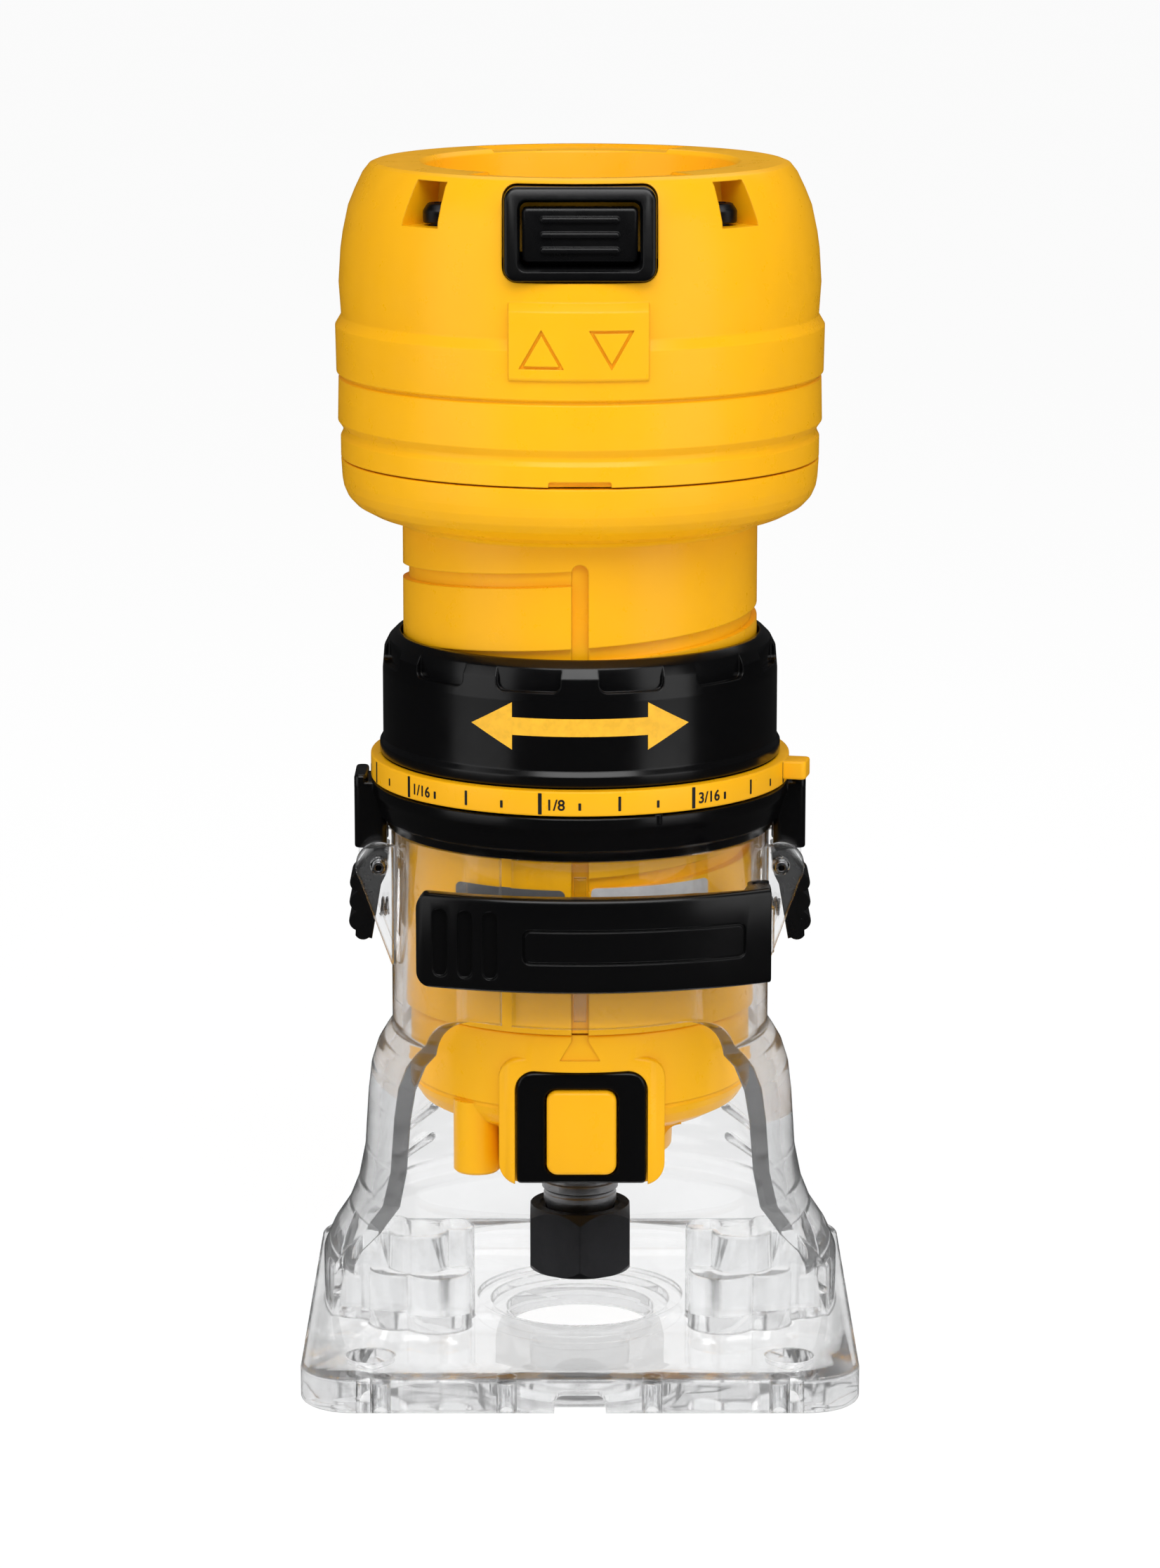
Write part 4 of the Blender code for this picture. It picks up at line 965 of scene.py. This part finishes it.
def clamp_handle():
    """The curved clamp lever: rounded ends, three grip slots and a lined panel."""
    (cx, cy), radius = circle_through((33.0, -29.0), (0.0, -38.0), (-27.5, -32.0))
    left = radians(-90) - (cx + 27.5) / radius
    right = radians(-90) + (32.6 - cx) / radius
    spread = [left + (right - left) * i / 48 for i in range(49)]
    rings = []
    for i, a in enumerate(spread):
        thick = 3.4 if i < 39 else 3.4 - 1.2 * (i - 36) / 12
        section = rounded_rect(radius - thick, radius, LEVER_LOW.z, LEVER_HIGH.z, 0.8, 4)
        rings.append([(cx + r * cos(a), cy + r * sin(a), z) for r, z in section])
    lever = loft(rings)
    front = rounded_rect(LEVER_LOW.x, 33.6, LEVER_LOW.z - 0.01, LEVER_HIGH.z + 0.01, 2.6, 8)
    lever = common(lever, prism(front, -45.0, -20.0, "Y"))
    for low, high in ((LEVER_LOW.z + 0.1, LEVER_LOW.z + 3.8), (LEVER_HIGH.z - 3.8, LEVER_HIGH.z - 0.1)):
        outline = arc(CLAMP_PIVOT, 2.4, 60, 200, 16) + [(26.6, -30.4), (31.2, -29.2)]
        lever = fuse(lever, prism(outline, low, high))
    slots = []
    for x in (-22.8, -18.7, -14.6):
        y = cy - sqrt(radius ** 2 - (x - cx) ** 2)
        slots.append(prism(rounded_rect(x - 1.2, x + 1.2, 70.6, 81.9, 1.15, 6), y - 2.0, y + 0.7, "Y"))
    lever = cut(lever, rod(1.6, 60.0, 90.0, at=CLAMP_PIVOT), *slots)
    outer = rounded_rect(-9.3, 27.0, 73.4, 79.2, 1.2, 6)
    inner = rounded_rect(-8.9, 26.6, 73.8, 78.8, 0.9, 6)
    line = cut(prism(outer, -45.0, -22.0, "Y"), prism(inner, -46.0, -21.0, "Y"))
    wall = [(radius + 2.0, 60.0), (radius + 2.0, 90.0), (radius - 0.3, 90.0), (radius - 0.3, 60.0)]
    line = common(line, moved(turned(wall), (cx, cy, 0)))
    lever = cut(lever, line)
    piece("clamp_handle", lever, BLACK, "clamp", ("clamp_lever",))


def latch_handles():
    """The finger latches: three grip bumps, a hub on a hollow pin and a nose in the collar's arm."""
    for side, word in ((-1, "left"), (1, "right")):
        outline = arc((LATCH_X, LATCH_Z), 2.4, 20, 128, 12)
        outline += [(32.3, 83.6), (32.5, 81.2), (33.4, 79.4), (35.0, 69.9)]
        outline += arc((36.5, 71.2), 1.5, 230, 330, 6)
        grip = []
        for i in range(3):
            grip += arc((36.9 + 0.1 * i, 79.6 - 3.3 * i), 1.75, 68, -68, 10)
        outline += grip[::-1]
        if side < 0:
            outline = [(-x, z) for x, z in outline]
        lever = prism(outline, -4.9, 4.9, "Y")
        nose = rounded_rect(*sorted((side * 32.7, side * 34.7)), 83.0, 87.6, 0.6, 4)
        lever = fuse(lever, prism(nose, -2.4, 2.4, "Y"))
        lever = cut(lever, rod(1.4, -9.0, 9.0, "Y", (side * LATCH_X, LATCH_Z)))
        body = f"latch_{word}"
        piece(f"latch_handle_{word}", lever, SATIN_BLACK, body, (f"latch_{word}",))
        profile = filleted([(0.55, -8.2), (1.1, -8.2, 0.25), (1.1, 8.2, 0.25), (0.55, 8.2)])
        pin = turned(profile, SMALL * 2)
        lie_along_y(pin)
        pin = moved(pin, (side * LATCH_X, 0, LATCH_Z))
        piece(f"latch_tube_{word}", pin, STEEL, "base", (f"latch_pin_{word}",))


# ---------------------------------------------------------------- nose, lock, spindle and nut

def nose_shell():
    """The motor's lower end: a dome, the spindle lock's housing, screw shoulders and a key lead-in."""
    profile = filleted([
        (0, NOSE_HIGH.z), (28.7, NOSE_HIGH.z, 0.4), (28.6, 46.6), (28.3, 46.4), (28.3, 46.0), (28.5, 45.8),
        (28.1, 44.6, 1.0), (27.0, 42.8, 1.2), (23.8, 41.1, 1.2), (17.5, 40.2, 1.0), (15.8, 38.6, 1.0),
        (15.6, NOSE_LOW.z, 0.4), (0, NOSE_LOW.z),
    ])
    nose = turned(profile)
    for x, y in NOSE_SCREWS:
        shoulder = [(0, 33.5), (3.5, 33.5), (3.9, 33.9), (3.9, 46.0), (0, 46.0)]
        nose = fuse(nose, turned_at(shoulder, (x, y), ROUND))
    outline = rounded_rect(-13.4, 14.0, NOSE_LOW.z - 0.02, 55.2, 3.8, 8)
    housing = pillow(outline, -15.0, -27.5, 0.9, "Y", both=False, steps=5)
    web = [(13.0, 43.0), (16.9, 43.0)] + arc((16.9, 38.3), 2.9, 90, 180, 10) + [(13.0, 38.3)]
    nose = fuse(fuse(nose, housing), prism(web, -18.0, -15.2, "Y"))
    nose = cut(nose, turned([(29.8, 30.0), (29.8, 62.0), (36.0, 62.0), (36.0, 30.0)]))
    inside = [
        (0, 30.0), (7.3, 30.0), (7.3, 35.0), (14.3, 35.0), (14.3, 44.4), (16.0, 45.2), (20.6, 51.4),
        (25.9, 52.2), (26.3, 62.0), (0, 62.0),
    ]
    nose = cut(nose, turned(inside))
    nose = cut(nose, prism(rounded_rect(-10.75, 11.2, 20.0, 52.95, 3.3, 8), -34.0, -24.8, "Y"))
    nose = cut(nose, prism(rounded_rect(-5.85, 6.35, 35.1, 49.9, 1.2), -30.0, -17.6, "Y"))
    half = KEY_HALF
    lead_in = [(-3.3, 54.9), (3.3, 54.9), (half, 58.2), (half, 62.0), (-half, 62.0), (-half, 58.2)]
    nose = cut(nose, prism(lead_in, -34.0, -28.2, "Y"), rod(2.0, -18.5, -5.0, "Y", CROSS_HOLE))
    bores = []
    for x, y in NOSE_SCREWS:
        stepped = [(0, 30), (2.6, 30), (2.6, 36.6), (1.6, 36.6), (1.6, 50), (0, 50)]
        bores.append(turned_at(stepped, (x, y), SMALL))
    nose = cut(nose, *bores)
    piece("nose_shell", nose, YELLOW, "motor", ("nose_cap",))


def lock():
    """The spindle lock's black surround and its yellow button."""
    low, high = SURROUND_LOW, SURROUND_HIGH
    corners = [(-10.45, low.z, 0.8), (10.9, low.z, 0.8), (10.9, high.z, 3.1), (-10.45, high.z, 3.1)]
    outline = filleted(corners, 8)
    surround = pillow(outline, -25.1, -27.6, 0.5, "Y", both=False, steps=4)
    surround = cut(surround, prism(rounded_rect(-5.85, 6.35, 35.1, 49.9, 1.9, 6), -40.0, -20.0, "Y"))
    piece("lock_frame", surround, BLACK, "motor", ("lock_surround",))
    button = pillow(rounded_rect(-5.5, 6.0, 35.4, 49.6, 1.8, 8), -21.4, -28.7, 0.7, "Y", both=False, steps=5)
    piece("lock_key", button, YELLOW, "lock", ("lock_button",))


def spindle_and_nut():
    """The spindle with its wrench flats and grooves, and the chamfered collet nut."""
    profile = filleted([
        (4.9, 13.6), (5.6, 13.6), (5.6, 21.6), (6.2, 23.0), (6.2, 24.4), (6.0, 24.6), (6.0, 25.0),
        (6.5, 25.4, 0.1), (6.5, 26.6, 0.1), (6.1, 26.8), (6.1, 27.3), (6.5, 27.5, 0.1),
        (6.5, 34.9, 0.1), (6.1, 35.2), (6.1, 60.0), (5.0, 61.0), (5.0, 138.0), (4.1, 139.0), (4.1, 168.0),
        (0, 168.0), (0, 34.0), (3.6, 34.0), (3.6, 24.0),
    ])
    shaft = turned(profile, 96)
    flats = [box(4.9, 9.0, -8.0, 8.0, 28.2, 31.9), box(-9.0, -4.9, -8.0, 8.0, 28.2, 31.9)]
    flats = [moved(flat, turn=-38.0) for flat in flats]
    cross = rod(2.0, -9.0, 9.0, "Y", CROSS_HOLE)
    piece("spindle_shaft", cut(shaft, *flats, cross), DARK_STEEL, "rotor", ("spindle",))
    corners = [on_circle(17.0 / sqrt(3), 60.0 * i) for i in range(6)]
    hexagon = filleted([(x, y, 0.6) for x, y in corners], 5)
    nut = prism(hexagon, NUT_LOW.z, NUT_HIGH.z)
    hollow = [
        (0, 8), (3.5, 8), (3.5, 12.0), (5.4, 12.6), (5.9, 13.1), (5.9, 21.8), (6.8, 22.0), (6.8, 28), (0, 28),
    ]
    nut = cut(nut, turned(hollow, ROUND))
    trim = filleted([
        (8.2, 9.0), (8.6, NUT_LOW.z, 0.1), (9.9, 12.8, 0.3), (9.9, 20.6, 0.3), (8.4, NUT_HIGH.z, 0.1),
        (8.2, 24.0), (13.0, 24.0), (13.0, 9.0),
    ])
    nut = cut(nut, turned(trim, ROUND))
    piece("nut_body", nut, NUT_STEEL, "rotor", ("collet_nut",))


# ---------------------------------------------------------------- clear base

def wall_marks():
    """Two short slanted grooves on each side of the chamber's inner wall."""
    marks = []
    for side in (-1, 1):
        for height, deep in ((31.9, 35.9), (26.1, 36.9)):
            outline = rounded_rect(-4.3, 4.3, -0.85, 0.85, 0.83, 6)
            lean = radians(-17.0 * side)
            c, s = cos(lean), sin(lean)
            tilted = [(u * c - v * s, height + u * s + v * c) for u, v in outline]
            marks.append(moved(prism(tilted, 20.0, deep, "Y"), turn=side * -53.0))
    return marks


def base_shell():
    """The clear base: plate, flared chamber, sleeve, accessory bosses, latch ears and clamp lugs."""
    wall = filleted([
        (43.8, 5.0), (43.8, 15.0, 2.0), (42.2, 18.6, 3.0), (39.6, 22.5, 3.0), (37.8, 27.0, 4.0),
        (36.6, 33.0, 5.0), (36.0, 42.4, 5.0), (35.4, 47.5, 3.0), (34.3, 51.0, 2.0), (33.0, 53.2, 1.5),
        (31.8, 55.0, 1.2), (31.8, SLEEVE_TOP, 0.3), (30.2, SLEEVE_TOP, 0.2), (30.2, 53.2, 1.0),
        (31.6, 51.2, 1.5), (33.0, 47.0, 3.0), (33.7, 42.0, 4.0), (34.3, 33.0, 5.0), (35.4, 26.5, 4.0),
        (37.3, 21.5, 3.0), (39.6, 18.0, 2.0), (40.4, 15.0, 2.0), (40.4, 5.0),
    ], 5)
    shell = turned(wall)
    back = rounded_rect(-15.0, 15.0, 17.0, 47.0, 8.0, 12)
    edge = [(-60.0, 2.0), (-12.0, 2.0), (-13.5, 15.0), (-18.4, 27.0)]
    front = edge + arc((-27.4, 52.0), 9.0, 0, 90, 16) + [(-60.0, 61.0)]
    shell = cut(shell, prism(front, -50.0, 50.0, "X"), prism(back, 5.0, 60.0, "Y"))
    square = rounded_rect(-HALF_PLATE, HALF_PLATE, -HALF_PLATE, HALF_PLATE, 9.0, 12)
    shell = fuse(shell, pillow(square, 0.0, 6.0, 0.7, steps=4))
    for radius, top, x, y in BOSSES:
        for side in (-1, 1):
            lobe = pillow(arc((side * x, y), radius, 0, 350, 35), 5.0, top, 0.5, both=False)
            shell = fuse(shell, lobe)
    for side in (-1, 1):
        outline = [(30.4, 66.0), (31.6, 66.0)] + arc((LATCH_X, LATCH_Z), 3.9, -35, 118, 18) + [(30.4, 86.6)]
        if side < 0:
            outline = [(-x, z) for x, z in outline]
        shell = fuse(shell, *[prism(outline, y0, y0 + 2.0, "Y") for y0 in (5.4, -7.4)])
    lug = [(25.6, -16.9), (22.4, -20.6)] + arc(CLAMP_PIVOT, 2.1, 218, 404, 16)
    shell = fuse(shell, prism(lug, 72.6, 80.1))
    shell = fuse(shell, arc_wall(30.8, 36.0, -43.5, -36.5, 71.2, 81.6))
    opening = [
        (0, -1), (12.1, -1), (12.5, 0.4), (12.5, 3.8), (15.2, 3.8), (15.2, 5.2), (17.5, 5.2), (17.5, 8),
        (0, 8),
    ]
    slit = box(-12.8, -11.2, -45.0, -20.0, 59.0, 91.0)
    notch = prism(rounded_rect(-4.2, 4.2, -2.0, 3.2, 1.6), -47.0, -42.5, "Y")
    shell = cut(shell, turned(opening), slit, notch)
    shell = cut(shell, *wall_marks())
    shell = cut(shell, *[rod(1.7, -1.0, 4.8, at=(x, -43.3)) for x in (-32.6, -12.0, 11.8, 32.6)])
    step = [(0, -1), (2.2, -1), (2.2, 3.0), (4.0, 3.0), (4.0, 7.0), (0, 7.0)]
    holes = [turned_at(step, (sx * HOLE_X, sy * HOLE_Y), 40) for sx in (-1, 1) for sy in (-1, 1)]
    shell = cut(shell, *holes)
    pins = [rod(1.4, -9.0, 9.0, "Y", (side * LATCH_X, LATCH_Z)) for side in (-1, 1)]
    strap_hole = rod(1.5, 60.0, 90.0, at=on_circle(34.0, -40.0))
    shell = cut(shell, *pins, rod(1.6, 60.0, 90.0, at=CLAMP_PIVOT), strap_hole)
    piece("base_shell", shell, CLEAR, "base", ("clear_base",))


# ---------------------------------------------------------------- the whole scene

studio()
kept_nodes()
head_shell()
neck_shell()
neck_labels()
screws()
gland()
switch()
ring_shell()
scale_band()
collar_shell()
clamp_handle()
latch_handles()
nose_shell()
lock()
spindle_and_nut()
base_shell()
